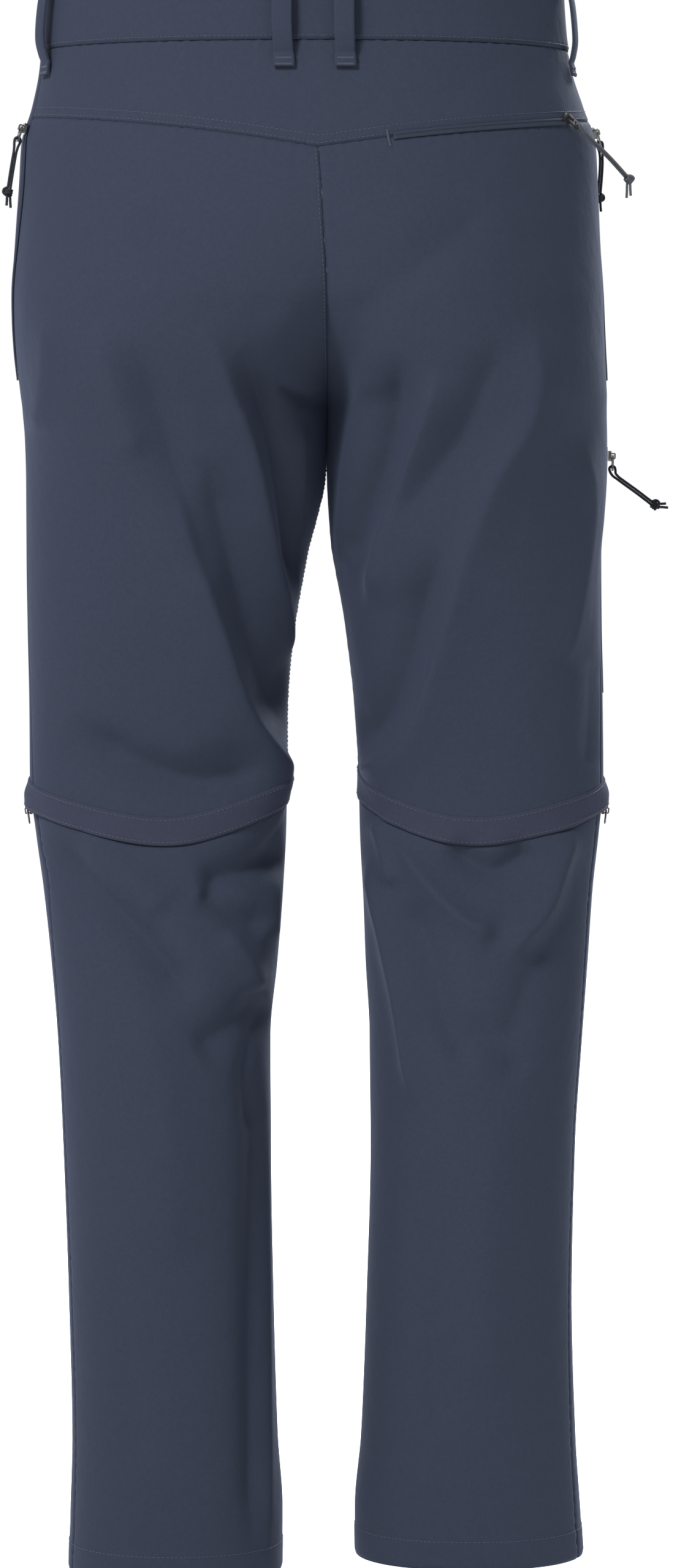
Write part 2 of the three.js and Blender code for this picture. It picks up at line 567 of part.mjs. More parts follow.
// Doubled cord from one side of the knot round the tab's end bar to the other side
function cordPoints(route) {
  const turn = HOLE_MIDDLE - 0.2 + CORD.nose;
  const line = new THREE.CatmullRomCurve3([[turn, 0, 0], ...route].map((p) => new THREE.Vector3(...p)));
  const steps = 8;
  const strand = (way) => Array.from({ length: steps + 1 }, (_, i) => {
    const share = i / steps;
    const apart = CORD.near + (CORD.nose - CORD.near) * (1 - smooth(share, 0.08, 0.8));
    const ahead = line.getTangent(share);
    const upright = 1 - smooth(share, 0, 0.2);
    const aside = new THREE.Vector3(-ahead.z, 0, ahead.x).lerp(new THREE.Vector3(0, 0, 1), upright);
    return line.getPoint(share).addScaledVector(aside.normalize(), way * apart);
  });
  const bend = [-45, 0, 45].map((degrees) => new THREE.Vector3(
    turn - CORD.nose * Math.cos(radians(degrees)), 0, -CORD.nose * Math.sin(radians(degrees))));
  return [...strand(1).reverse(), ...bend, ...strand(-1)];
}

for (const pull of PULLS) {
  const frame = pullFrame(pull.side, radians(pull.angle), pull.z, pull.lean, HINGE_LIFT);
  add(`${pull.name}_slider`, slider(SLIDER.half, SLIDER.half).applyMatrix4(frame), METAL_BLACK);
  add(`${pull.name}_tab`, tab().applyMatrix4(frame), METAL_BLACK);
  const curve = new THREE.CatmullRomCurve3(cordPoints(pull.route));
  const steps = Math.round(curve.getLength() / CORD.step);
  add(`${pull.name}_cord`, tube(curve, CORD.radius, steps).applyMatrix4(frame), CORD_GREY);
  const last = new THREE.Vector3(...pull.route[pull.route.length - 1]);
  const ahead = last.clone().sub(new THREE.Vector3(...pull.route[pull.route.length - 2])).normalize();
  const middle = last.clone().addScaledVector(ahead, KNOT.along + SEAM);
  const lay = new THREE.Matrix4().makeRotationFromQuaternion(
    new THREE.Quaternion().setFromUnitVectors(new THREE.Vector3(0, 1, 0), ahead)).setPosition(middle);
  const ball = new THREE.SphereGeometry(1, 9, 6).scale(KNOT.across, KNOT.along, KNOT.across);
  let knot = solidOf(ball.applyMatrix4(lay));
  const tail = new THREE.Vector3(...pull.tail).normalize();
  const aside = new THREE.Vector3(0, 1, 0).cross(tail).normalize().multiplyScalar(CORD.near);
  for (const way of [-1, 1]) {
    const start = middle.clone().addScaledVector(tail, KNOT.root).addScaledVector(aside, way);
    const reach = KNOT.along + KNOT.tail - way * KNOT.uneven;
    const end = start.clone().addScaledVector(tail, reach).addScaledVector(aside, way * KNOT.spread);
    knot = knot.add(solidOf(tube(new THREE.LineCurve3(start, end), CORD.radius, 1)));
  }
  add(`${pull.name}_knot`, geometryOf(knot).applyMatrix4(frame), CORD_GREY);
}

// Cloth
add("waistband", waistband(), SLATE);
add("yoke_back", yoke(), SLATE);
const underCover = (share, angle) => coverTop(angle) - COVER.seat;
const underZip = (share, angle) => coverTop(angle) - ZIP_RING.bottom - SEAM;
for (const [name, side] of SIDES) {
  const yokeLine = (share) => yokeEdge(share) - HALF_SEAM;
  const bandLine = () => BAND.bottom - HALF_SEAM;
  const hemLine = () => (side > 0 ? HEM.left : HEM.right);
  add(`back_panel_${name}`, panel(side, 1, BACK_LEVELS, BACK_COLUMNS, yokeLine, underCover), SLATE);
  add(`front_panel_${name}`, panel(side, -1, FRONT_LEVELS, FRONT_COLUMNS, bandLine, underCover), SLATE);
  add(`lower_back_${name}`, panel(side, 1, LOWER_LEVELS, LOWER_COLUMNS, underZip, hemLine), SLATE);
  add(`lower_front_${name}`, panel(side, -1, LOWER_LEVELS, LOWER_COLUMNS, underZip, hemLine), SLATE);
  const coverLift = (angle, down) => {
    const aside = (angle - KNEE_SLIDER.angle) / COVER.bulgeAngle;
    return COVER.lift + COVER.bulge * Math.exp(-(aside ** 2)) * smooth(down, 0, COVER.bulgeFull);
  };
  add(`zip_cover_${name}`, kneeRing(side, COVER.columns, 0, COVER.height, coverLift, COVER.thick), SLATE_BAND);
  const from = COVER.seat + ZIP_RING.gap;
  add(`knee_zip_${name}`, kneeRing(side, COVER.columns, from, ZIP_RING.bottom, () => -CLOTH, CLOTH), ZIP_BLACK);
  add(`loop_back_${name}`, beltLoop(side, (z) => angleAcross(side, z, LOOP.backAcross, 1)), SLATE);
  const sideAngle = radians(side > 0 ? LOOP.leftAngle : LOOP.rightAngle);
  add(`loop_side_${name}`, beltLoop(side, () => sideAngle), SLATE);
  add(`loop_front_${name}`, beltLoop(side, (z) => angleAcross(side, z, LOOP.frontAcross, -1)), SLATE);
}
add("fly_lap", fly(), SLATE);

// Waist button on the lapped-over end
const buttonAngle = radians(LAP.over / 2 - 90);
const buttonOut = formNormal(-1, buttonAngle, BUTTON.level);
const buttonProfile = [
  [0, 0],
  [BUTTON.foot, 0],
  [BUTTON.foot, BUTTON.under],
  [BUTTON.radius, BUTTON.under],
  [BUTTON.radius, BUTTON.thick - BUTTON.bevel],
  [BUTTON.radius - BUTTON.bevel, BUTTON.thick],
  [BUTTON.radius - BUTTON.rim, BUTTON.thick],
  [BUTTON.radius - BUTTON.rim - BUTTON.dish, BUTTON.thick - BUTTON.dish],
  [0, BUTTON.thick - BUTTON.dish],
].map(([x, y]) => new THREE.Vector2(x, y));
const buttonPlace = new THREE.Matrix4().makeRotationFromQuaternion(
  new THREE.Quaternion().setFromUnitVectors(new THREE.Vector3(0, 1, 0), buttonOut));
buttonPlace.setPosition(clothPoint(-1, buttonAngle, BUTTON.level, BAND.proud + SEAM));
add("waist_button", new THREE.LatheGeometry(buttonProfile, 16).applyMatrix4(buttonPlace), BUTTON_DARK);

// Pocket zips
const backZip = Array.from({ length: BACK_ZIP.steps + 1 }, (_, i) => {
  const across = BACK_ZIP.from + ((BACK_ZIP.to - BACK_ZIP.from) * i) / BACK_ZIP.steps;
  let share = 1;
  let z = -90;
  let angle = 0;
  for (let pass = 0; pass < 6; pass += 1) {
    angle = angleAcross(-1, z, across, 1);
    const start = loopAt(-1, z).seam;
    share = (angle - start) / (Math.PI / 2 - start);
    z = yokeEdge(share);
  }
  return { side: -1, angle, z, half: POCKET_ZIP.width / 2 };
});
add("back_pocket_zip", strip(backZip, POCKET_ZIP.lift, POCKET_ZIP.thick, false), ZIP_BLACK);
function uprightZip(side, angleAt, zip) {
  const places = Array.from({ length: zip.steps + 1 }, (_, i) => {
    const z = zip.top + ((zip.bottom - zip.top) * i) / zip.steps;
    return { side, z, angle: angleAt(z), half: POCKET_ZIP.width / 2 };
  });
  return strip(places, POCKET_ZIP.lift, POCKET_ZIP.thick, true);
}
for (const [name, side] of SIDES) {
  const seamAt = (z) => loopAt(side, z).seam;
  add(`hand_zip_${name}`, uprightZip(side, seamAt, HAND_ZIP), ZIP_BLACK);
}
add("thigh_pocket_zip", uprightZip(-1, () => radians(THIGH_ZIP.angle), THIGH_ZIP), ZIP_BLACK);

// Knee sliders and wire pulls, just below the covers at the outer side
const KNEE_SEAT = SEAM;
const KNEE_HINGE = KNEE_SEAT + SLIDER.thick + SLIDER.gap / 2;
for (const [name, side] of SIDES) {
  const z = coverTop(KNEE_SLIDER.angle) - COVER.height - KNEE_SLIDER.below;
  const frame = pullFrame(side, KNEE_SLIDER.angle, z, 0, KNEE_HINGE);
  add(`knee_slider_${name}`, slider(KNEE_SLIDER.behind, KNEE_SLIDER.ahead).applyMatrix4(frame), METAL_BLACK);
  add(`knee_pull_${name}`, wirePull().applyMatrix4(frame), METAL_BLACK);
}

export default garment;
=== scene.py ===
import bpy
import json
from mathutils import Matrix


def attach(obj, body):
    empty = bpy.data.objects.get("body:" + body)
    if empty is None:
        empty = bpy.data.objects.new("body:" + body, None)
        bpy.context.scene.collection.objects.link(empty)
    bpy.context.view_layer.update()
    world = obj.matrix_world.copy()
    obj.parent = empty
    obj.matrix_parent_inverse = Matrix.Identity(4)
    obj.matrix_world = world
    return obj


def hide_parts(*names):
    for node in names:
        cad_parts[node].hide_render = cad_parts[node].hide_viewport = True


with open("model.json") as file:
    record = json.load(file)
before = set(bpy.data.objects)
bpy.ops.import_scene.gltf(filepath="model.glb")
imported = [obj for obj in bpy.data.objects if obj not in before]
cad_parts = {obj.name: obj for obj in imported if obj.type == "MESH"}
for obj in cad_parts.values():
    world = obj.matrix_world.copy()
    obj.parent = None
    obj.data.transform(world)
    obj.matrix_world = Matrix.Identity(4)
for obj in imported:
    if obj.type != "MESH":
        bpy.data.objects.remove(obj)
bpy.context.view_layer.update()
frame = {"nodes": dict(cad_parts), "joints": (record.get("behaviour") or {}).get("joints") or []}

import json
import math

import bpy
import numpy as np
from mathutils import Vector

# Looks of the convertible zip-off trousers: cloth shells with their folds, seams, stitches, zips, pulls,
# cords, button, light and camera. Formulas are in millimetres, meshes in metres. +Z is up, the front faces
# -Y and +X is the wearer's left. A leg's angle is 0 at its outer edge and positive to the back.

MM = 0.001

# Sizes shared with the solids
ROUNDNESS = 2.2
EYE = {"distance": 3300.0, "height": -278.0}
BAND = {"top": 21.0, "bottom": -28.0, "proud": 0.8, "thick": 2.2}
LAP = {"under": 14.0, "over": 6.0, "sink": 3.2, "sunk_to": 8.0, "level_by": 24.0}
YOKE = {"side": -73.0, "drop": 24.0, "curve": 1.3}
COVER = {"height": 19.0, "seat": 4.0, "thick": 1.0, "lift": 0.8, "bulge": 3.4, "bulge_angle": 0.22}
COVER_LINE = {"level": -503.5, "lean": 13.0, "sag": 13.0, "outer": 3.5, "tilt": 3.0}
ZIP_RING = {"gap": 0.45, "bottom": 18.5, "sunk": 0.6, "thick": 0.6}
KNEE = {"upper_foot": -514.0, "lower_top": -530.0, "lower_foot": -1035.0, "slider_angle": 0.05,
        "slider_drop": 2.9}
HEM = {"left": -1040.0, "right": -1030.0, "deep": 19.0, "proud": 0.45}
LOOP = {"width": 12.5, "thick": 1.3, "back_across": 19.5, "front_across": 78.0, "left_angle": 13.0,
        "right_angle": 9.0, "crown": 0.25, "fold": 0.9, "flare": 0.5}
FLY = {"width": 36.0, "foot": 3.0, "inset": 0.6, "thick": 1.0, "lift": 1.1, "top": -29.0,
       "straight_to": -140.0, "bottom": -182.0}
BACK_ZIP = {"from": 48.0, "to": 160.0}
HAND_ZIP = {"top": -77.0, "bottom": -244.0}
THIGH_ZIP = {"angle": -6.0, "top": -288.0, "bottom": -452.0}
POCKET_ZIP = {"width": 4.4, "thick": 0.5, "lift": 0.5}
CORD = {"radius": 0.85, "nose": 2.0, "near": 0.88}
KNOT = {"along": 3.6, "across": 2.1, "turns": 2.6, "length": 4.0, "tail_from": 2.6, "strands_apart": 0.8}
KNOT_DIAGONAL = ((-3.0, 1.0), (-1.2, 3.3), (1.3, 3.2), (3.2, -0.6))
TAB = {"hole_middle": 6.9, "play": 0.2}
BUTTON = {"radius": 8.5, "thick": 3.2, "level": -3.0, "rim": 0.8, "hole_at": 1.5, "thread_down": 0.55}
BUTTON_HOLES = ((1, 1), (-1, 1), (-1, -1), (1, -1))
BEND = {"seat_top": 60.0, "seat_full": 130.0, "calm_top": 90.0, "calm_full": 380.0, "top_reach": 110.0,
        "bottom_reach": 70.0}

# Belt loop from top to foot: level and lift, and the levels of its tacks
LOOP_BOW = ((19.5, 1.15), (16.5, 1.5), (11, 5.2), (2, 7.3), (-12, 7.9), (-24, 7.2), (-33, 4.3), (-38.5, 1.6),
            (-46, 0.8))
LOOP_TACKS = (17.5, -41.0, -44.5)

SOFT_EDGE = 0.22

# Knee zip's wire pull: points along and across from its hinge
WIRE_RADIUS = 0.62
WIRE_POINTS = [(0, -2.9), (0, 0), (0, 2.9), (2.6, 3.0), (7.2, 1.5), (8.4, 0.45), (8.4, -0.45), (7.2, -1.5),
               (2.6, -3.0)]

# Sizes of the cloth shells and their seams
SEAM = 0.04
HALF_SEAM = SEAM / 2
THICK = 0.9
STEP = 2.6
COLUMNS = {"upper": 130, "lower": 96, "band": 420, "ring": 300}
ROLL = {"depth": 0.7, "reach": 1.2}
SEAT_SEAM = 6.0
SEAT_SPLIT = (-325.0, -305.0)
PUCKER = {"height": 0.28, "reach": 7.0, "pitch": 9.5}
STITCH = {"pitch": 3.0, "length": 2.2, "radius": 0.24, "lift": 0.05}
TACK = {"width": 1.7, "pitch": 0.55, "radius": 0.27, "lift": 0.4}
KNEE_TEETH = {"pitch": 1.35, "length": 1.7, "radius": 0.42, "aside": 0.8}
POCKET_TEETH = {"pitch": 0.9, "length": 0.9, "radius": 0.3, "aside": 0.22}

# Level sections of the worn garment, as in the solids
SECTION_COLUMNS = ("z", "out_left", "out_right", "centre", "pinch", "gap", "mid", "front", "back",
                   "seam_left", "seam_right")
SECTIONS = np.array([
    [30, 179, -160, 3, 0, -0.4, 0, 112, 109, 6, -5],
    [-16, 182, -163, 3, 0, -0.4, 0, 114, 113, 7, -5],
    [-40, 184, -167, 2, 0, -0.4, 0, 116, 117, 8, -5],
    [-65, 189, -175, 1, 0, -0.4, 1, 118, 122, 9, -5],
    [-89, 196, -183, 0, 0, -0.4, 2, 120, 128, 10, -5],
    [-115, 197.5, -184.5, -2, 0.03, -0.4, 3, 122, 134, 11, -5],
    [-150, 200, -186, -4, 0.16, -0.4, 4, 123, 139, 12, -5],
    [-186, 202, -188, -6, 0.42, -0.4, 4, 121, 140, 12, -4],
    [-205, 201.5, -188.7, -6, 0.6, -0.4, 3, 118, 138, 12, -3],
    [-224, 200.3, -189.5, -6, 0.78, -0.4, 2, 114, 135, 12, -2],
    [-237, 199, -190.2, -6, 0.885, -0.4, 1, 111, 132, 12, -1],
    [-247, 197.8, -190.6, -6, 0.947, -0.4, 0, 109, 129.5, 12, 0],
    [-254.5, 197, -191, -6, 0.985, -0.4, -1, 107, 127.5, 12, 1],
    [-262, 196, -191, -6, 1, -0.4, -2, 105, 125.5, 12, 1],
    [-286, 194.5, -191.5, -5.5, 1, -0.4, -3, 101, 118.5, 12, 2],
    [-311, 194, -191, -5, 1, 0.6, -3, 98, 111.5, 12, 4],
    [-335, 194, -189.5, -3, 1, 3.9, -3, 95, 105.5, 12, 6],
    [-360, 194, -187.5, -1, 1, 8.4, -3, 93, 101, 12, 7],
    [-409, 193.5, -188, -1, 1, 17, -3, 87, 92, 13, 9],
    [-458, 192.7, -189.4, -1.6, 1, 22, -3, 80, 81, 14, 12],
    [-508, 192.5, -190, -3, 1, 23.8, -2, 72, 70, 15, 15],
    [-545, 188.5, -187, -3, 1, 24.6, -1, 68, 66, 16, 16],
    [-581, 183.5, -183, -3, 1, 26.5, 2, 66, 67, 17, 17],
    [-631, 178, -179.5, -2, 1, 29.4, 6, 63, 71, 18, 18],
    [-680, 174, -176, -1, 1, 33, 8, 61, 72, 18, 18],
    [-754, 170.6, -171.5, -1.5, 1, 33.2, 8, 60, 70, 18, 18],
    [-852, 167.5, -169.7, -1, 1, 31.2, 7, 60, 64, 18, 18],
    [-950, 165.6, -172.6, -0.5, 1, 27.9, 5, 61, 60, 18, 18],
    [-1000, 167, -176, 0, 1, 24.2, 5, 62, 60, 18, 18],
    [-1060, 169, -180, 0, 1, 25, 5, 63, 61, 18, 18],
], float)

# Creases as seen from behind: points (x, z) that each runs through, its spread on the wearer's left and
# right side, its height, negative for a trough, and how crisp its line is, from 0 to 1
BACK_FOLDS = [
    ([(125, -216), (103, -271), (89, -322), (74, -380)], 16, 13, -6.6, 0.4),
    ([(98, -300), (84, -352), (67, -408), (50, -462), (24, -502), (8, -514)], 36, 11, 12.0, 0.8),
    ([(75, -290), (58, -352), (40, -420), (22, -478)], 13, 17, -9.0, 0.3),
    ([(73, -206), (48, -278), (37, -322), (24, -395), (20, -440)], 18, 8, 8.5, 0.7),
    ([(50, -222), (30, -274), (20, -330), (14, -384)], 9, 9, -8.5, 0.4),
    ([(180, -200), (181, -241), (187, -280)], 9, 9, 3.6, 0.4),
    ([(146, -200), (133, -249), (119, -297)], 12, 12, 4.2, 0.4),
    ([(28, -246), (10, -254), (-6, -257)], 6, 6, -4.2, 0.5),
    ([(10, -270), (9, -318), (14, -395)], 5, 5, 3.6, 0.5),
    ([(168, -470), (120, -500), (78, -510), (36, -496)], 17, 14, -12.0, 0.3),
    ([(178, -549), (150, -581), (116, -615), (82, -660)], 19, 13, -10.0, 0.5),
    ([(160, -545), (130, -572), (100, -600)], 16, 12, 4.3, 0.2),
    ([(82, -580), (48, -570), (18, -558)], 12, 11, -9.0, 0.3),
    ([(80, -584), (60, -596), (34, -610)], 10, 10, -6.0, 0.3),
    ([(14, -566), (27, -584), (30, -622)], 8, 8, 4.5, 0.5),
    ([(84, -694), (58, -676), (34, -655)], 13, 13, -6.5, 0.3),
    ([(62, -610), (48, -630), (38, -652)], 11, 9, 4.5, 0.4),
    ([(31, -655), (47, -703), (42, -748)], 8, 7, -4.4, 0.5),
    ([(40, -690), (44, -860), (44, -1040)], 9, 7, -5.0, 0.4),
    ([(33, -700), (34, -880), (34, -1040)], 5, 5, 3.0, 0.5),
    ([(120, -640), (104, -730), (100, -840)], 22, 18, 3.8, 0.2),
    ([(140, -820), (128, -900), (120, -985)], 16, 16, -2.9, 0.2),
    ([(-39, -205), (-28, -269), (-18, -316), (-14, -370)], 9, 18, 6.0, 0.5),
    ([(-80, -236), (-68, -277), (-47, -339), (-33, -396)], 7, 24, 10.0, 0.8),
    ([(-54, -226), (-48, -280), (-31, -332), (-20, -366)], 10, 9, -7.5, 0.3),
    ([(-128, -208), (-101, -272), (-80, -301), (-52, -338)], 18, 20, -7.2, 0.4),
    ([(-143, -200), (-142, -262), (-116, -312), (-97, -368)], 11, 24, 8.5, 0.6),
    ([(-103, -340), (-86, -399), (-73, -448), (-56, -489), (-24, -506)], 9, 30, 11.0, 0.8),
    ([(-82, -352), (-66, -410), (-46, -462), (-22, -486)], 15, 11, -8.0, 0.3),
    ([(-176, -280), (-180, -332), (-172, -394), (-162, -435)], 11, 9, 4.8, 0.5),
    ([(-184, -425), (-183, -462), (-180, -505)], 8, 8, -3.0, 0.4),
    ([(-38, -534), (-45, -556), (-52, -582)], 7, 8, 5.8, 0.6),
    ([(-52, -545), (-72, -576), (-95, -602), (-120, -616)], 12, 11, 9.5, 0.7),
    ([(-84, -552), (-116, -570), (-146, -555)], 11, 11, -8.5, 0.4),
    ([(-56, -590), (-74, -632), (-88, -690)], 14, 16, -7.5, 0.3),
    ([(-171, -534), (-160, -570), (-150, -599), (-126, -630)], 14, 9, 9.5, 0.6),
    ([(-158, -612), (-140, -650), (-128, -690)], 12, 14, -5.0, 0.3),
    ([(-34, -556), (-42, -600), (-55, -662), (-66, -735)], 7, 10, 8.0, 0.7),
    ([(-82, -696), (-111, -683), (-140, -711)], 14, 14, -6.0, 0.3),
    ([(-120, -730), (-112, -830), (-116, -930)], 20, 18, 3.5, 0.2),
    ([(-70, -760), (-74, -860), (-82, -960)], 13, 14, -3.5, 0.3),
    ([(120, -130), (80, -170), (20, -205)], 18, 18, -3.1, 0.3),
    ([(-118, -125), (-72, -165), (-18, -205)], 18, 18, -3.1, 0.3),
]

# Creases in front: points (x, z), spread on both sides, and height, all with the same soft line
FRONT_CRISP = 0.15
FRONT_FOLDS = [
    ([(18, -236), (62, -220), (122, -196)], 16, 6.1),
    ([(14, -250), (66, -240), (136, -226)], 14, -5.4),
    ([(20, -262), (60, -300), (92, -372)], 20, 7.6),
    ([(152, -300), (140, -380), (118, -452)], 24, 6.1),
    ([(44, -446), (92, -470), (160, -452)], 19, -6.9),
    ([(34, -478), (84, -494), (150, -484)], 16, 5.4),
    ([(160, -560), (112, -590), (62, -640)], 18, 6.9),
    ([(150, -600), (104, -632), (58, -690)], 16, -5.4),
    ([(60, -760), (78, -860), (92, -985)], 19, -5.4),
    ([(120, -730), (124, -850), (132, -980)], 19, 4.0),
    ([(-26, -240), (-70, -224), (-128, -204)], 16, 6.1),
    ([(-22, -254), (-74, -244), (-140, -232)], 14, -5.4),
    ([(-28, -270), (-56, -322), (-88, -392)], 20, 7.6),
    ([(-150, -290), (-136, -372), (-112, -450)], 24, 6.1),
    ([(-40, -450), (-96, -474), (-158, -460)], 19, -6.9),
    ([(-34, -484), (-88, -500), (-150, -488)], 16, 5.4),
    ([(-158, -556), (-108, -600), (-66, -652)], 18, 6.9),
    ([(-146, -600), (-100, -640), (-62, -700)], 16, -5.4),
    ([(-70, -770), (-86, -880), (-98, -1000)], 19, -5.4),
    ([(-122, -736), (-128, -850), (-136, -980)], 19, 4.0),
]

FOLDS = ((1, BACK_FOLDS),
         (-1, [(line, wide, wide, height, FRONT_CRISP) for line, wide, height in FRONT_FOLDS]))

# Pocket pulls: name, body, the hinge's side, angle and level, the cord's middle line from the tab's hole to
# the knot, the direction of its free ends, and how far from the knot's middle they reach. Line and direction
# are along, across and out from the hinge.
PULLS = [
    ("back_pocket", "back_pull", -1, 22.0, -76.5,
     [(13, 0, 0.2), (26, 0, 0.8), (42, 0.3, 1.2), (58, 0.5, 0.8)], (6.4, -6.8, -3.6), 11.5),
    ("hand_left", "hand_pull_left", 1, 9.8, -81.0,
     [(13, 0, -0.2), (21, 0, -1), (30, 0.3, -2), (39.5, 0.5, -3.2)], (8, 0, -2.4), 9.6),
    ("hand_right", "hand_pull_right", -1, -5.0, -81.0,
     [(13, 0, -0.2), (21, 0, -1.8), (30, 0, -4.4), (40.8, 0, -8)], (8, -2.8, -2.6), 9.8),
    ("thigh_pocket", "thigh_pull", -1, -6.0, -294.0,
     [(12.4, 0, 1.4), (16.8, 0, 7), (23, 0, 16), (30.2, -0.6, 25.8)], (0, 0, 8), 8.4),
]

# Camera: place, the point that it looks at, and the height of the view there
CAMERA = {"at": (-0.012, 3.3, -0.278), "look": (-0.012, 0.0, -0.5125), "height": 1.047}
FLOOR = {"level": -1.085, "half": 8.0, "grey": 0.98}

# Square lights: name, place, width and power, all turned to one point
LIGHTS = (("key", (1.5, 2.4, 2.1), 0.8, 235), ("front_key", (-1.2, -2.6, 1.8), 0.9, 220))
LIT_POINT = (0, 0, -0.45)

# Colours of the materials
SLATE = (0.0146, 0.0182, 0.0294)
SLATE_BAND = (0.0166, 0.0184, 0.0306)
THREAD = (0.018, 0.022, 0.036)
PALE_THREAD = (0.16, 0.17, 0.19)
ZIP_BLACK = (0.006, 0.007, 0.009)
METAL_BLACK = (0.008, 0.008, 0.010)
CORD_GREY = (0.040, 0.044, 0.050)
CORD_BLACK = (0.012, 0.013, 0.016)
BUTTON_DARK = (0.020, 0.024, 0.034)


def smooth(x, low, high):
    """Smooth step of x from 0 at low to 1 at high: t * t * (3 - 2 t)."""
    t = np.clip((np.asarray(x, float) - low) / (high - low), 0, 1)
    return t * t * (3 - 2 * t)


def unit(v):
    """Vector of length 1."""
    v = np.asarray(v, float)
    return v / np.linalg.norm(v)


def unit_rows(v):
    """Vectors of length 1 from those along the last axis."""
    return v / np.linalg.norm(v, axis=-1, keepdims=True)


def matched(*values):
    """Arrays of floats of one shape from numbers and arrays."""
    return np.broadcast_arrays(*(np.asarray(value, float) for value in values))


def steady_slopes(xs, ys):
    """Slopes without overshoot: the harmonic mean of the rises beside a row, 0 where their signs differ."""
    rise = np.diff(ys, axis=0) / np.diff(xs)[:, None]
    product = rise[:-1] * rise[1:]
    total = rise[:-1] + rise[1:]
    inner = np.where(product > 0, 2 * product / np.where(product > 0, total, 1), 0)
    return np.vstack([rise[:1], inner, rise[-1:]])


LEVELS = SECTIONS[:, 0]
SLOPES = steady_slopes(LEVELS, SECTIONS)


def section(z):
    """Every column of the section table at levels z, by cubic Hermite pieces between the rows."""
    z = np.asarray(z, float)
    i = np.clip(np.searchsorted(-LEVELS, -z, side="left") - 1, 0, len(LEVELS) - 2)
    span = (LEVELS[i + 1] - LEVELS[i])[..., None]
    t = (z[..., None] - LEVELS[i][..., None]) / span
    t2, t3 = t * t, t * t * t
    found = ((2 * t3 - 3 * t2 + 1) * SECTIONS[i] + (t3 - 2 * t2 + t) * span * SLOPES[i]
             + (3 * t2 - 2 * t3) * SECTIONS[i + 1] + (t3 - t2) * span * SLOPES[i + 1])
    return {name: found[..., c] for c, name in enumerate(SECTION_COLUMNS)}


def loop_at(side, z):
    """One leg's loop at levels z: middle = gap + pinch * half, half = (reach - gap) / (1 + pinch)."""
    s = section(z)
    reach = np.where(side > 0, s["out_left"] - s["centre"], s["centre"] - s["out_right"])
    pinch = np.minimum(s["pinch"], 1)
    half = (reach - s["gap"]) / (1 + pinch)
    seam = np.radians(np.where(side > 0, s["seam_left"], s["seam_right"]))
    return {**s, "half": half, "middle": s["gap"] + pinch * half, "seam": seam}


def form_point(side, angle, z):
    """Points of the smooth form, a superellipse in each leg's loop.

    radius = (|cos / half|^n + |sin / depth|^n)^(-1 / n)
    """
    side, angle, z = matched(side, angle, z)
    loop = loop_at(side, z)
    depth = np.where(angle >= 0, loop["back"], loop["front"])
    c, s = np.cos(angle), np.sin(angle)
    radius = ((np.abs(c) / loop["half"]) ** ROUNDNESS + (np.abs(s) / depth) ** ROUNDNESS) ** (-1 / ROUNDNESS)
    x = loop["centre"] + side * (loop["middle"] + radius * c)
    return np.stack([x, loop["mid"] + radius * s, z], -1)


def form_normal(side, angle, z):
    """Outward unit direction of the smooth form, from differences round and up it."""
    turn = 0.002
    rise = 0.4
    round_way = form_point(side, angle + turn, z) - form_point(side, angle - turn, z)
    up = form_point(side, angle, z + rise) - form_point(side, angle, z - rise)
    n = np.cross(round_way, up) * np.asarray(side, float)[..., None]
    return unit_rows(n)


def angle_across(side, z, across, face):
    """Angle at which a leg's loop is a distance from the middle seam, on its back (+1) or front (-1)."""
    loop = loop_at(side, z)
    x = across - loop["middle"]
    share = np.minimum(np.abs(x) / loop["half"], 1)
    depth = loop["back"] if face > 0 else loop["front"]
    y = np.maximum(depth * (1 - share ** ROUNDNESS) ** (1 / ROUNDNESS), HALF_SEAM)
    return face * np.arctan2(y, x)


def smooth_line(points, steps):
    """Points on a Catmull-Rom curve through the given ones, steps to each stretch."""
    p = np.asarray(points, float)
    ends = np.vstack([2 * p[0] - p[1], p, 2 * p[-1] - p[-2]])
    t = np.linspace(0, 1, steps, endpoint=False)[:, None]
    parts = []
    for a, b, c, d in zip(ends[:-3], ends[1:-2], ends[2:-1], ends[3:]):
        parts.append(0.5 * (2 * b + (c - a) * t + (2 * a - 5 * b + 4 * c - d) * t ** 2
                            + (3 * b - a - 3 * c + d) * t ** 3))
    return np.vstack([*parts, p[-1:]])


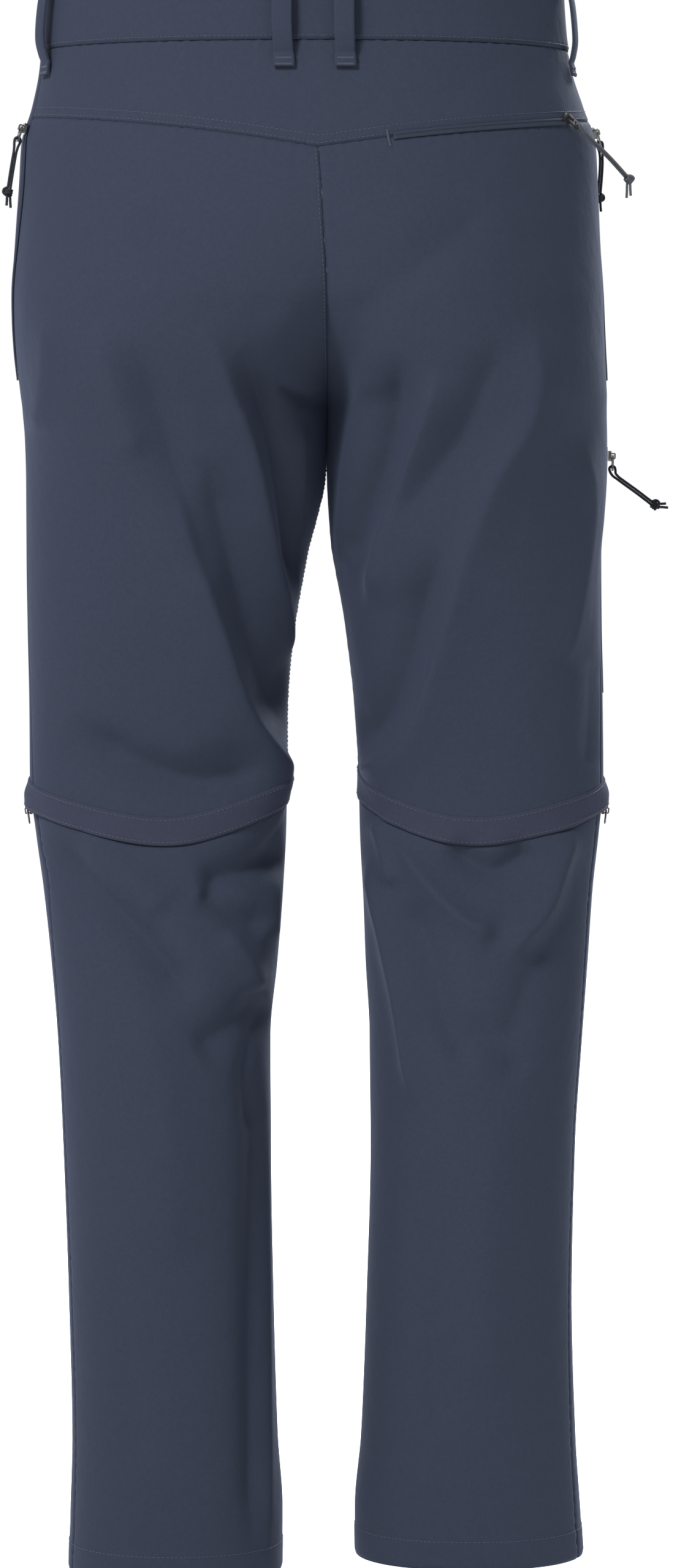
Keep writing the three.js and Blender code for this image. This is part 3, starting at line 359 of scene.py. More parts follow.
def fold_height(side, angle, point):
    """Sum of the creases: height * profile(distance / spread) * fades at its ends, outline and top."""
    side, angle = matched(side, angle)
    total = np.zeros(point.shape[:-1])
    inward = np.abs(point[..., 0] - section(point[..., 2])["centre"])
    edge = smooth(np.abs(np.sin(angle)), 0.04, 0.4) * smooth(inward, 2, 18)
    fade = edge * smooth(-point[..., 2], BEND["seat_top"], BEND["seat_full"])
    for way, folds in FOLDS:
        here = (angle >= 0) if way > 0 else (angle < 0)
        if not here.any():
            continue
        p = point[here]
        grow = EYE["distance"] / (EYE["distance"] - way * p[:, 1])
        x = p[:, 0] * grow
        z = EYE["height"] + (p[:, 2] - EYE["height"]) * grow
        heights = np.zeros(len(p))
        for through, spread_left, spread_right, height, crisp in folds:
            line = smooth_line(through, 8)
            reach = 2.6 * max(spread_left, spread_right)
            near = ((x > line[:, 0].min() - reach) & (x < line[:, 0].max() + reach)
                    & (z > line[:, 1].min() - reach) & (z < line[:, 1].max() + reach))
            if not near.any():
                continue
            q = np.stack([x[near], z[near]], -1)
            a, d = line[:-1], np.diff(line, axis=0)
            t = np.clip(((q[:, None] - a) * d).sum(-1) / (d * d).sum(-1), 0, 1)
            off = q[:, None] - a - t[..., None] * d
            distance = np.linalg.norm(off, axis=-1)
            nearest = distance.argmin(1)
            row = np.arange(len(q))
            along = (nearest + t[row, nearest]) / len(d)
            shortest = distance[row, nearest]
            to_left = smooth(off[row, nearest, 0] / (shortest + 0.001), -0.35, 0.35)
            u = shortest / (spread_right + (spread_left - spread_right) * to_left)
            soft = np.exp(-u * u)
            sharp = np.exp(-1.7 * (np.sqrt(u * u + 0.02) - math.sqrt(0.02)))
            ends = smooth(along, -0.02, 0.22) * smooth(1.02 - along, 0, 0.18)
            heights[near] += height * ((1 - crisp) * soft + crisp * sharp) * ends
        total[here] += heights
    return total * fade


def cloth(side, angle, z, lift=0.0):
    """Points and outward directions of the cloth's outer face, moved out by lift."""
    side, angle, z = matched(side, angle, z)
    point = form_point(side, angle, z)
    out = form_normal(side, angle, z)
    height = fold_height(side, angle, point) + lift
    return point + out * height[..., None], out


# Meshes

def placed(name, data):
    """Object of some data, put in the scene."""
    obj = bpy.data.objects.new(name, data)
    bpy.context.scene.collection.objects.link(obj)
    return obj


def make_object(name, vertices, faces, material, slot, body="garment", smoothed=None):
    """Mesh object from points in mm and lists of faces, turned inside out if its volume is negative.

    smoothed says of each face whether it is shaded smooth; without it all are.
    """
    vertices = np.asarray(vertices, float).reshape(-1, 3)
    volume = 0.0
    for f in faces:
        for k in range(1, f.shape[1] - 1):
            a, b, c = vertices[f[:, 0]], vertices[f[:, k]], vertices[f[:, k + 1]]
            volume += (a * np.cross(b, c)).sum()
    if volume < 0:
        faces = [f[:, ::-1] for f in faces]
    corners = np.concatenate([f.ravel() for f in faces]).astype(np.int32)
    counts = np.concatenate([np.full(len(f), f.shape[1]) for f in faces])
    starts = np.concatenate([[0], np.cumsum(counts)[:-1]]).astype(np.int32)
    mesh = bpy.data.meshes.new(name)
    mesh.vertices.add(len(vertices))
    mesh.vertices.foreach_set("co", (vertices * MM).astype(np.float32).ravel())
    mesh.loops.add(len(corners))
    mesh.loops.foreach_set("vertex_index", corners)
    mesh.polygons.add(len(counts))
    mesh.polygons.foreach_set("loop_start", starts)
    mesh.update(calc_edges=True)
    mesh.validate()
    if smoothed is None:
        mesh.shade_smooth()
    else:
        flat = mesh.attributes.new("sharp_face", "BOOLEAN", "FACE")
        flat.data.foreach_set("value", ~smoothed)
    mesh.materials.append(material)
    obj = placed(name, mesh)
    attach(obj, body)
    return obj


def shell(name, outer, inner, material, slot, ring=False):
    """Closed sheet between two grids of points (rows, columns, 3); its rim is shaded flat."""
    rows, columns = outer.shape[:2]
    index = np.arange(rows * columns).reshape(rows, columns)
    if ring:
        index = np.hstack([index, index[:, :1]])
    inside = index + rows * columns
    quads = lambda g: np.stack([g[:-1, :-1], g[1:, :-1], g[1:, 1:], g[:-1, 1:]], -1).reshape(-1, 4)
    strip = lambda a, b: np.stack([a[:-1], a[1:], b[1:], b[:-1]], -1)
    skin = [quads(index), quads(inside)[:, ::-1]]
    rim = [strip(index[0], inside[0]), strip(index[-1], inside[-1])[:, ::-1]]
    if not ring:
        rim += [strip(index[:, 0], inside[:, 0])[:, ::-1], strip(index[:, -1], inside[:, -1])]
    smoothed = np.concatenate([np.full(len(f), k < 2) for k, f in enumerate(skin + rim)])
    return make_object(name, np.stack([outer, inner]), skin + rim, material, slot, smoothed=smoothed)


def cells(g):
    """Faces between the neighbours in one or several grids of point numbers."""
    corners = [g[..., :-1, :-1], g[..., :-1, 1:], g[..., 1:, 1:], g[..., 1:, :-1]]
    return np.stack(corners, -1).reshape(-1, 4)


def tube(path, radius, sides=10, closed=False):
    """Points and faces of a round tube along a path, its section carried on without twist."""
    p = np.asarray(path, float)
    ahead = np.gradient(p, axis=0)
    if closed:
        ahead = np.roll(p, -1, 0) - np.roll(p, 1, 0)
    ahead = unit_rows(ahead)
    seed = np.eye(3)[np.abs(ahead[0]).argmin()]
    aside = np.cross(ahead[0], seed)
    sides_at = []
    for t in ahead:
        aside = aside - t * (aside @ t)
        aside /= np.linalg.norm(aside)
        sides_at.append(aside)
    u = np.array(sides_at)
    if closed:
        slip = math.atan2(np.dot(np.cross(u[-1], u[0]), ahead[0]), np.dot(u[-1], u[0]))
        turn = np.linspace(0, slip, len(p))[:, None]
        u = u * np.cos(turn) + np.cross(ahead, u) * np.sin(turn)
    v = np.cross(ahead, u)
    turn = np.linspace(0, 2 * math.pi, sides, endpoint=False)
    radius = np.broadcast_to(radius, (len(p),))
    rings = (p[:, None] + radius[:, None, None]
             * (u[:, None] * np.cos(turn)[None, :, None] + v[:, None] * np.sin(turn)[None, :, None]))
    index = np.arange(rings.shape[0] * sides).reshape(-1, sides)
    wrapped = np.hstack([index, index[:, :1]])
    if closed:
        wrapped = np.vstack([wrapped, wrapped[:1]])
    caps = [] if closed else [index[:1, ::-1], index[-1:]]
    return rings.reshape(-1, 3), [cells(wrapped), *caps]


def joined(parts):
    """One list of points and faces from several."""
    points, faces, start = [], [], 0
    for p, fs in parts:
        points.append(p)
        faces += [f + start for f in fs]
        start += len(p)
    return np.vstack(points), faces


def spaced(line, normals, pitch, length):
    """Start and end points and normals of dashes along a line of points."""
    step = np.linalg.norm(np.diff(line, axis=0), axis=1)
    at = np.concatenate([[0], np.cumsum(step)])
    count = max(int(at[-1] // pitch), 1)
    first = (at[-1] - count * pitch) / 2 + pitch * np.arange(count) + (pitch - length) / 2
    pick = lambda values, s: np.stack([np.interp(s, at, values[:, k]) for k in range(3)], -1)
    return pick(line, first), pick(line, first + length), pick(normals, first + length / 2)


def threads(starts, ends, normals, radius):
    """Short four-sided threads from starts to ends, sunk at both ends."""
    aside = unit_rows(np.cross(unit_rows(ends - starts), normals))
    share = np.array([0, 0.2, 0.8, 1])[None, :, None, None]
    size = radius * np.array([0.5, 1, 1, 0.5])[None, :, None, None]
    rise = radius * np.array([-0.9, 0.35, 0.35, -0.9])[None, :, None, None]
    turn = np.radians([0, 90, 180, 270])[None, None, :, None]
    spread = lambda v: v[:, None, None, :]
    points = (spread(starts) + share * spread(ends - starts) + rise * spread(normals)
              + size * (np.cos(turn) * spread(aside) + np.sin(turn) * spread(normals)))
    n = len(starts)
    index = np.arange(n * 16).reshape(n, 4, 4)
    wrapped = np.concatenate([index, index[:, :, :1]], 2)
    return points.reshape(-1, 3), [cells(wrapped), index[:, 0, ::-1], index[:, -1]]


def border(grid, side, distance):
    """Points and normals on a grid, distance mm inside its first or last row or column."""
    points, normals = grid
    if side in ("start", "end"):
        points, normals = points.swapaxes(0, 1), normals.swapaxes(0, 1)
    if side in ("bottom", "end"):
        points, normals = points[::-1], normals[::-1]
    step = np.linalg.norm(np.diff(points, axis=0), axis=2)
    along = np.vstack([np.zeros(points.shape[1]), np.cumsum(step, 0)])
    k = np.clip((along <= distance).sum(0) - 1, 0, len(along) - 2)
    column = np.arange(points.shape[1])
    t = ((distance - along[k, column]) / (along[k + 1, column] - along[k, column]))[:, None]
    mix = lambda g: g[k, column] * (1 - t) + g[k + 1, column] * t
    return mix(points), mix(normals)


def stitch_line(name, side, distance):
    """Threads of one row of stitches along the border of a piece's grid."""
    line, normals = border(GRIDS[name], side, distance)
    starts, ends, out = spaced(line + normals * STITCH["lift"], normals, STITCH["pitch"], STITCH["length"])
    return threads(starts, ends, out, STITCH["radius"])


def wave(s, pitch, seed):
    """Uneven ripple along a seam: two sines of near pitches under a slow swell."""
    turns = 2 * math.pi * s
    swell = 0.6 + 0.4 * np.sin(turns / (7.3 * pitch) + 1.7 * seed)
    ripple = np.sin(turns / pitch + seed) + 0.6 * np.sin(turns / (0.62 * pitch) + 2.3 * seed)
    return swell * ripple


def seamed(points, normals, rolled, puckered, seed):
    """Lowers a grid's rolled borders into their seams and ripples its puckered ones."""
    down = np.linalg.norm(np.diff(points, axis=0), axis=2)
    across = np.linalg.norm(np.diff(points, axis=1), axis=2)
    from_top = np.vstack([np.zeros(points.shape[1]), np.cumsum(down, 0)])
    from_start = np.hstack([np.zeros((points.shape[0], 1)), np.cumsum(across, 1)])
    distance = {"top": from_top, "bottom": from_top[-1:] - from_top, "start": from_start,
                "end": from_start[:, -1:] - from_start}
    run = {"top": from_start, "bottom": from_start, "start": from_top, "end": from_top}
    height = np.zeros(points.shape[:2])
    for side in rolled:
        height -= ROLL["depth"] * np.exp(-(distance[side] / ROLL["reach"]) ** 2)
    seat = smooth(points[..., 2], *SEAT_SPLIT) * np.exp(-(distance["end"] / SEAT_SEAM) ** 2)
    normals = normals * np.stack([1 - seat, 1 + 0 * seat, 1 + 0 * seat], -1)
    for k, side in enumerate(puckered):
        ripple = wave(run[side], PUCKER["pitch"], seed + 2.1 * k)
        height += PUCKER["height"] * np.exp(-distance[side] / PUCKER["reach"]) * ripple
    return points + normals * height[..., None]


# Materials

def set_inputs(node, **values):
    """Node with its inputs set; an underscore in a name stands for a space."""
    for key, value in values.items():
        node.inputs[key.replace("_", " ")].default_value = value
    return node


def shader_of(material):
    """The material's principled shader."""
    return material.node_tree.nodes["Principled BSDF"]


def new_material(name, color, roughness):
    """Material of one colour and roughness."""
    material = bpy.data.materials.new(name)
    material.use_nodes = True
    set_inputs(shader_of(material), Base_Color=(*color, 1), Roughness=roughness)
    return material


def woven(name, color, fine, relief):
    """Cloth: base colour mottled by noise, a fine weave and soft small unevenness as bump."""
    material = new_material(name, color, 0.88)
    shader = shader_of(material)
    set_inputs(shader, Sheen_Weight=0.05, Sheen_Roughness=0.45, Sheen_Tint=(0.45, 0.58, 1.0, 1.0),
               Specular_IOR_Level=0.07)
    add = material.node_tree.nodes.new
    link = material.node_tree.links.new
    place = add("ShaderNodeTexCoord")
    mottle = set_inputs(add("ShaderNodeTexNoise"), Scale=420.0, Detail=4.0, Roughness=0.7)
    shade = set_inputs(add("ShaderNodeMapRange"), To_Min=0.82, To_Max=1.2)
    tint = add("ShaderNodeVectorMath")
    tint.operation = "SCALE"
    tint.inputs[0].default_value = color
    weave = set_inputs(add("ShaderNodeTexNoise"), Scale=fine, Detail=3.0, Roughness=0.6)
    uneven = set_inputs(add("ShaderNodeTexNoise"), Scale=38.0, Detail=3.0, Roughness=0.5)
    fine_bump = set_inputs(add("ShaderNodeBump"), Strength=0.35, Distance=0.0003)
    soft_bump = set_inputs(add("ShaderNodeBump"), Strength=0.5, Distance=relief)
    for noise in (mottle, weave, uneven):
        link(place.outputs["Object"], noise.inputs["Vector"])
    link(mottle.outputs["Fac"], shade.inputs["Value"])
    link(shade.outputs["Result"], tint.inputs["Scale"])
    link(tint.outputs["Vector"], shader.inputs["Base Color"])
    link(weave.outputs["Fac"], fine_bump.inputs["Height"])
    link(uneven.outputs["Fac"], soft_bump.inputs["Height"])
    link(fine_bump.outputs["Normal"], soft_bump.inputs["Normal"])
    link(soft_bump.outputs["Normal"], shader.inputs["Normal"])
    return material


CLOTH_MAT = woven("slate_cloth", SLATE, 1500.0, 0.0022)
BAND_MAT = woven("band_cloth", SLATE_BAND, 1500.0, 0.0012)
THREAD_MAT = new_material("thread", THREAD, 0.6)
PALE_MAT = new_material("pale_thread", PALE_THREAD, 0.6)
ZIP_MAT = new_material("zip_black", ZIP_BLACK, 0.5)
TAPE_MAT = new_material("zip_tape", ZIP_BLACK, 0.85)
METAL_MAT = new_material("metal_black", METAL_BLACK, 0.28)
set_inputs(shader_of(METAL_MAT), Coat_Weight=0.6)
CORD_MAT = woven("cord_grey", CORD_GREY, 2600.0, 0.0002)
DARK_CORD_MAT = woven("cord_black", CORD_BLACK, 2600.0, 0.0002)
BUTTON_MAT = new_material("button_dark", BUTTON_DARK, 0.42)


# Camera

def make_camera():
    """Camera at the photo's place: lens = sensor width * distance / height of the view."""
    data = bpy.data.cameras.new("camera")
    cam = placed("camera", data)
    at, look = Vector(CAMERA["at"]), Vector(CAMERA["look"])
    cam.location = at
    cam.rotation_euler = (look - at).to_track_quat("-Z", "Y").to_euler()
    data.lens = data.sensor_width * (look - at).length / CAMERA["height"]
    bpy.context.scene.camera = cam


make_camera()


# Cords and knots, in the frame of each pull's hinge

JOINTS = {j["child"]: j for j in frame["joints"]}


def hinge_frame(body, side, angle, z):
    """Matrix of a hinge's directions along, across (minus its axis) and out, and its place in mm."""
    at = np.array(JOINTS[body]["pos_m"], float) / MM
    across = -np.array(JOINTS[body]["axis"], float)
    out = form_normal(np.array(float(side)), np.array(math.radians(angle)), np.array(z))
    along = np.cross(across, out)
    return np.stack([unit(along), across, out], 1), at


def in_frame(turn, at, points):
    """Points of a hinge's frame in the row frame."""
    return np.asarray(points, float) @ turn.T + at


def make_cord(pull):
    """Two strands from the bend round the tab's bar through the knot to their free ends, and the knot."""
    name, body, side, angle, z, route, tail, tail_reach = pull
    turn, at = hinge_frame(body, side, angle, z)
    bend_at = TAB["hole_middle"] - TAB["play"] + CORD["nose"]
    line = smooth_line([(bend_at, 0, 0), *route], 6)
    share = np.linspace(0, 1, len(line))
    ahead = unit_rows(np.gradient(line, axis=0))
    apart = CORD["near"] + (CORD["nose"] - CORD["near"]) * (1 - smooth(share, 0.02, 0.4))
    aside = np.stack([-ahead[:, 2], 0 * share, ahead[:, 0]], -1)
    upright = (1 - smooth(share, 0, 0.2))[:, None]
    aside = unit_rows(aside * (1 - upright) + np.array([0, 0, 1.0]) * upright)
    end_way = ahead[-1]
    middle = line[-1] + end_way * (KNOT["along"] + SEAM)
    tail = unit(tail)
    tail_side = unit(np.cross([0, 1, 0], tail))
    material = DARK_CORD_MAT if name != "back_pocket" else CORD_MAT
    for letter, way in (("a", 1), ("b", -1)):
        bend = [(bend_at - CORD["nose"] * math.cos(b), 0, way * CORD["nose"] * math.sin(b))
                for b in np.radians([0, 30, 60])]
        strand = line + aside * (way * apart)[:, None]
        inside = middle + aside[-1] * way * KNOT["strands_apart"]
        start = middle + tail * KNOT["tail_from"] + tail_side * CORD["near"] * way
        end = start + tail * (tail_reach - KNOT["tail_from"] + way * 0.7) + tail_side * way * 0.5
        path = smooth_line([*bend, *strand[::3], strand[-1], inside, start, (start + end) / 2, end], 5)
        path = in_frame(turn, at, path)
        obj = make_object(f"{name}_strand_{letter}", *tube(path, CORD["radius"]), material, "cord_grey",
                          body)
    turns = np.linspace(0, KNOT["turns"] * 2 * math.pi, 80)
    across_way = unit(np.cross(end_way, [0, 1, 0]))
    other_way = np.cross(end_way, across_way)
    lift = (turns / turns[-1] - 0.5) * KNOT["length"]
    tuck = smooth(np.minimum(turns, turns[-1] - turns), -1.2, 0.9)
    coil = (middle + end_way * lift[:, None]
            + (across_way * np.cos(turns)[:, None] + other_way * np.sin(turns)[:, None])
            * KNOT["across"] * tuck[:, None])
    diagonal = smooth_line([middle + end_way * a + across_way * c for a, c in KNOT_DIAGONAL], 6)
    wraps = [tube(in_frame(turn, at, way), CORD["radius"]) for way in (coil, diagonal)]
    knot = make_object(f"{name}_wraps", *joined(wraps), material, "cord_grey", body)
    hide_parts(f"{name}_knot")
    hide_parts(f"{name}_cord")


for pull in PULLS:
    make_cord(pull)


# Cloth panels

BODY_SIDES = (("left", 1.0), ("right", -1.0))
GRIDS = {}


def cover_top(angle):
    """Level of the knee cover's upper edge, which dips at the back, most on the inner side."""
    to_back = np.sin(angle)
    tilt = COVER_LINE["tilt"] * np.sin(2 * angle) * np.maximum(to_back, 0)
    return (COVER_LINE["level"] - COVER_LINE["lean"] * to_back - COVER_LINE["sag"] * to_back ** 2
            - COVER_LINE["outer"] * np.cos(angle) + tilt)


def yoke_edge(share):
    """Level of the yoke's lower edge, from the outseam (0) to the centre back (1)."""
    return YOKE["side"] - YOKE["drop"] * share ** YOKE["curve"]


def column_angle(side, face, z, share):
    """Angle of a panel's column at share, from the outseam to the centre seam or inseam."""
    loop = loop_at(side, z)
    start = loop["seam"] + face * HALF_SEAM / loop["half"]
    calm = face * np.radians(90 + 90 * smooth(-z, BEND["calm_top"], BEND["calm_full"]))
    end = angle_across(side, z, HALF_SEAM, face)
    return start + (calm - start) * share + (end - calm) * share ** 4


def panel_grid(side, face, first, last, top_at, bottom_at, columns):
    """Grid of points and normals of one panel between its two end levels."""
    rows = int(abs(first - last) / STEP)
    levels = np.linspace(first, last, rows + 1)
    nominal, share = np.meshgrid(levels, np.linspace(0, 1, columns + 1), indexing="ij")
    angle = column_angle(side, face, nominal, share)
    near_top = smooth(nominal, first - BEND["top_reach"], first)
    near_bottom = smooth(-nominal, -last - BEND["bottom_reach"], -last)
    z = nominal + (top_at(share, angle) - first) * near_top + (bottom_at(share, angle) - last) * near_bottom
    return cloth(side, column_angle(side, face, z, share), z)


def cloth_piece(name, grid, material, slot, node, thick=THICK, ring=False):
    """Shell of a grid, in place of the solid that it is cut from, which is hidden; the grid is kept by name.
    """
    points, normals = grid
    obj = shell(name, points, points - normals * thick, material, slot, ring)
    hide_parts(node)
    GRIDS[name] = grid


under_cover = lambda share, angle: cover_top(angle) - COVER["seat"]
under_zip = lambda share, angle: cover_top(angle) - ZIP_RING["bottom"] - SEAM
yoke_line = lambda share, angle: yoke_edge(share) - HALF_SEAM
band_line = lambda share, angle: BAND["bottom"] - HALF_SEAM + 0 * share

for name, side in BODY_SIDES:
    hem_line = lambda share, angle: HEM[name] + 0 * share
    to_knee = (KNEE["upper_foot"], under_cover, COLUMNS["upper"])
    to_hem_line = (KNEE["lower_foot"], hem_line, COLUMNS["lower"])
    parts = (("back_panel", 1, YOKE["side"], yoke_line, *to_knee, ["top", "end"]),
             ("front_panel", -1, BAND["bottom"], band_line, *to_knee, ["top"]),
             ("lower_back", 1, KNEE["lower_top"], under_zip, *to_hem_line, ["start"]),
             ("lower_front", -1, KNEE["lower_top"], under_zip, *to_hem_line, ["start"]))
    for k, (part, face, first, top_at, last, bottom_at, columns, puckered) in enumerate(parts):
        points, normals = panel_grid(side, face, first, last, top_at, bottom_at, columns)
        points = seamed(points, normals, ["top", "start", "end"], puckered, k + side)
        if part.startswith("lower"):
            down = np.linalg.norm(np.diff(points, axis=0), axis=2)
            to_hem = np.vstack([np.cumsum(down[::-1], 0)[::-1], np.zeros(points.shape[1])])
            fold = HEM["proud"] * smooth(-to_hem, -HEM["deep"] - 1, -HEM["deep"] + 0.5)
            fold = fold - ROLL["depth"] * np.exp(-(to_hem / ROLL["reach"]) ** 2)
            points = points + normals * fold[..., None]
        cloth_piece(f"{part}_{name}_cloth", (points, normals), CLOTH_MAT, "slate_cloth", f"{part}_{name}")


def waistband_grid():
    """Strip from its under end round the body to its upper end, the first sunk under the other."""
    turn, z = np.meshgrid(np.linspace(-LAP["under"], 360 + LAP["over"], COLUMNS["band"] + 1),
                          np.linspace(BAND["top"], BAND["bottom"] + HALF_SEAM, 22))
    on_right = ((turn >= 0) & (turn < 180)) | (turn >= 360)
    side = np.where(on_right, -1.0, 1.0)
    from_front = np.where(turn < 0, -turn, np.where(on_right, turn % 360, 360 - turn))
    sink = LAP["sink"] * (1 - smooth(turn, LAP["sunk_to"], LAP["level_by"]))
    points, normals = cloth(side, np.radians(from_front - 90), z, BAND["proud"] - sink)
    return seamed(points, normals, ["top", "bottom", "end"], ["bottom"], 0.7), normals


def yoke_grid():
    """One piece from the left outseam over the back to the right outseam."""
    half = 90
    rows = 30
    column, row = np.meshgrid(np.arange(2 * half + 1), np.arange(rows + 1))
    side = np.where(column <= half, 1.0, -1.0)
    share = np.where(column <= half, column / half, (2 * half - column) / half)
    low = yoke_edge(share) + HALF_SEAM
    z = BAND["bottom"] - HALF_SEAM + (low - BAND["bottom"] + HALF_SEAM) * row / rows
    loop = loop_at(side, z)
    start = loop["seam"] + HALF_SEAM / loop["half"]
    points, normals = cloth(side, start + (math.pi / 2 - start) * share, z)
    return seamed(points, normals, ["top", "bottom", "start", "end"], ["top", "bottom"], 1.9), normals


cloth_piece("waistband_cloth", waistband_grid(), CLOTH_MAT, "slate_cloth", "waistband", BAND["thick"])
cloth_piece("yoke_cloth", yoke_grid(), CLOTH_MAT, "slate_cloth", "yoke_back")


def ring_grid(side, top, bottom, lift_at, rows):
    """Grid of a ring round one leg between two edges that follow the knee cover's line."""
    turns = -math.pi + 2 * math.pi * np.arange(COLUMNS["ring"]) / COLUMNS["ring"]
    angle, share = np.meshgrid(turns, np.linspace(0, 1, rows + 1))
    z = cover_top(angle) - top - (bottom - top) * share
    return cloth(side, angle, z, lift_at(side, angle, share))


def cover_lift(side, angle, share):
    """Lift of the cover: it bulges over the slider, and its free lower edge stands off unevenly."""
    from_slider = (angle - KNEE["slider_angle"]) / COVER["bulge_angle"]
    bulge = COVER["bulge"] * np.exp(-from_slider ** 2) * smooth(share, 0, 0.6)
    loose = (0.5 + 0.35 * np.sin(5 * angle + side) + 0.25 * np.sin(11 * angle)) * share ** 2
    edges = -0.6 * np.exp(-(share / 0.06) ** 2) - 0.3 * np.exp(-((1 - share) / 0.05) ** 2)
    return COVER["lift"] + bulge + loose + edges


def tape_lift(side, angle, share):
    """Lift of the zip's tape: it lies sunk all round."""
    return -ZIP_RING["sunk"] + 0 * angle


for name, side in BODY_SIDES:
    cover_grid = ring_grid(side, 0, COVER["height"], cover_lift, 12)
    cloth_piece(f"zip_cover_{name}_cloth", cover_grid, BAND_MAT, "band_cloth", f"zip_cover_{name}",
                COVER["thick"], ring=True)
    tape_grid = ring_grid(side, COVER["seat"] + ZIP_RING["gap"], ZIP_RING["bottom"], tape_lift, 6)
    cloth_piece(f"knee_tape_{name}", tape_grid, TAPE_MAT, "zip_black", f"knee_zip_{name}",
                ZIP_RING["thick"], ring=True)


def strip_grid(side, angle, z, half, lift, upright, columns, section_at):
    """Grid of a strip on the cloth along a line of places; section_at(u) lifts it from u = -1 to 1."""
    u = np.linspace(-1, 1, columns + 1)[None, :]
    side = np.broadcast_to(np.asarray(side, float), z.shape)[:, None]
    z = z[:, None] + 0 * u
    shift = u * np.asarray(half)[..., None] if np.ndim(half) else u * half
    angle = np.broadcast_to(angle, z.shape[:1])[:, None] + 0 * u
    if upright:
        angle = angle + shift / loop_at(side, z)["half"]
    else:
        z = z + shift
    rise = np.asarray(lift)[:, None] if np.ndim(lift) else lift
    return cloth(side, angle, z, rise + section_at(u))


def crowned(u):
    """Lift across a strap: highest in its middle."""
    return LOOP["crown"] * (1 - u * u)


def lipped(u):
    """Lift across a zip: a lip on each side of a groove."""
    return 0.4 * np.exp(-((np.abs(u) - 0.55) / 0.25) ** 2) - 0.35 * np.exp(-(u / 0.2) ** 2)


TACKS = []


def belt_loop(name, side, angle_at):
    """Strap bowed out between its two sewn ends, its foot folded, and tacked at both ends."""
    line = smooth_line(LOOP_BOW, 6)
    z, lift = line[:, 0], line[:, 1]
    angle = angle_at(z)
    turn = 0.01
    step = form_point(side, angle + turn, z) - form_point(side, angle, z)
    per_radian = np.linalg.norm(step, axis=-1) / turn
    fold = LOOP["fold"] * smooth(-z, 37.5, 39.5)
    half = (LOOP["width"] / 2 + LOOP["flare"] * smooth(-z, 36, 40)) * loop_at(side, z)["half"] / per_radian
    points, normals = strip_grid(side, angle, z, half, lift + LOOP["thick"] + fold, True, 10, crowned)
    cloth_piece(f"{name}_cloth", (points, normals), CLOTH_MAT, "slate_cloth", name, LOOP["thick"])
    for level in LOOP_TACKS:
        row = np.abs(z - level).argmin()
        TACKS.append((points[row, 1:-1], normals[row, 1:-1]))


for name, side in BODY_SIDES:
    belt_loop(f"loop_back_{name}", side, lambda z: angle_across(side, z, LOOP["back_across"], 1))
    beside = math.radians(LOOP["left_angle"] if side > 0 else LOOP["right_angle"])
    belt_loop(f"loop_side_{name}", side, lambda z: beside + 0 * z)
    belt_loop(f"loop_front_{name}", side, lambda z: angle_across(side, z, LOOP["front_across"], -1))


def fly_grid():
    """Fly piece on the wearer's left front, its outer edge curving in to the centre at its foot."""
    z, share = np.meshgrid(np.linspace(FLY["top"], FLY["bottom"], 64), np.linspace(0, 1, 17), indexing="ij")
    past = np.maximum(0, (FLY["straight_to"] - z) / (FLY["straight_to"] - FLY["bottom"]))
    width = FLY["foot"] + (FLY["width"] - FLY["foot"]) * np.sqrt(np.maximum(0, 1 - past * past))
    across = FLY["inset"] + width * share
    points, normals = cloth(1.0, angle_across(1.0, z, across, -1), z, FLY["lift"] + FLY["thick"])
    return seamed(points, normals, ["end"], [], 0.4), normals


cloth_piece("fly_cloth", fly_grid(), CLOTH_MAT, "slate_cloth", "fly_lap", FLY["thick"])


# Rows of stitches

def stitches(name, parts, material=THREAD_MAT):
    """One piece of threads, sewn on the cloth."""
    make_object(name, *joined(parts), material, "slate_cloth")


# Each piece of stitches, its cloth, and its rows: the border that each follows and its distance from it
STITCH_ROWS = [
    ("waistband_stitches", "waistband", ("top", 2.6), ("bottom", 2.4)),
    ("yoke_stitches", "yoke", ("bottom", 2.2), ("bottom", 7.2)),
    ("seat_stitches", "back_panel_left", ("end", 2.2)),
    ("fly_stitches", "fly", ("end", 1.8), ("end", 7.0)),
]
for name, piece, *rows in STITCH_ROWS:
    stitches(name, [stitch_line(f"{piece}_cloth", *row) for row in rows])
for name, side in BODY_SIDES:
    hems = [f"lower_{face}_{name}_cloth" for face in ("back", "front")]
    stitches(f"hem_stitches_{name}", [stitch_line(hem, "bottom", HEM["deep"]) for hem in hems])
    cover = f"zip_cover_{name}_cloth"
    stitches(f"cover_stitches_{name}", [stitch_line(cover, "top", 2.4), stitch_line(cover, "bottom", 2.2)])


def tack(line, normals, width=TACK["width"]):
    """Bar tack: threads side by side across a short line."""
    starts, ends, out = spaced(line, normals, TACK["pitch"], TACK["pitch"] * 0.9)
    middle = (starts + ends) / 2
    across = unit_rows(np.cross(out, unit(line[-1] - line[0])))
    return threads(middle - across * width / 2, middle + across * width / 2, out, TACK["radius"])


stitches("belt_loop_tacks", [tack(line, normals) for line, normals in TACKS])


# Zips

def zip_teeth(line, normals, teeth):
    """Closed coil: two rows of short cross threads that mesh along the middle of the tape."""
    starts, ends, out = spaced(line, normals, teeth["pitch"], teeth["pitch"] * 0.5)
    middle = (starts + ends) / 2
    way = unit_rows(np.cross(out, ends - starts))
    shift = np.where(np.arange(len(middle)) % 2 == 0, 1.0, -1.0)[:, None] * teeth["aside"]
    centre = middle + way * shift
    half = way * teeth["length"] / 2
    return threads(centre - half, centre + half, out, teeth["radius"])


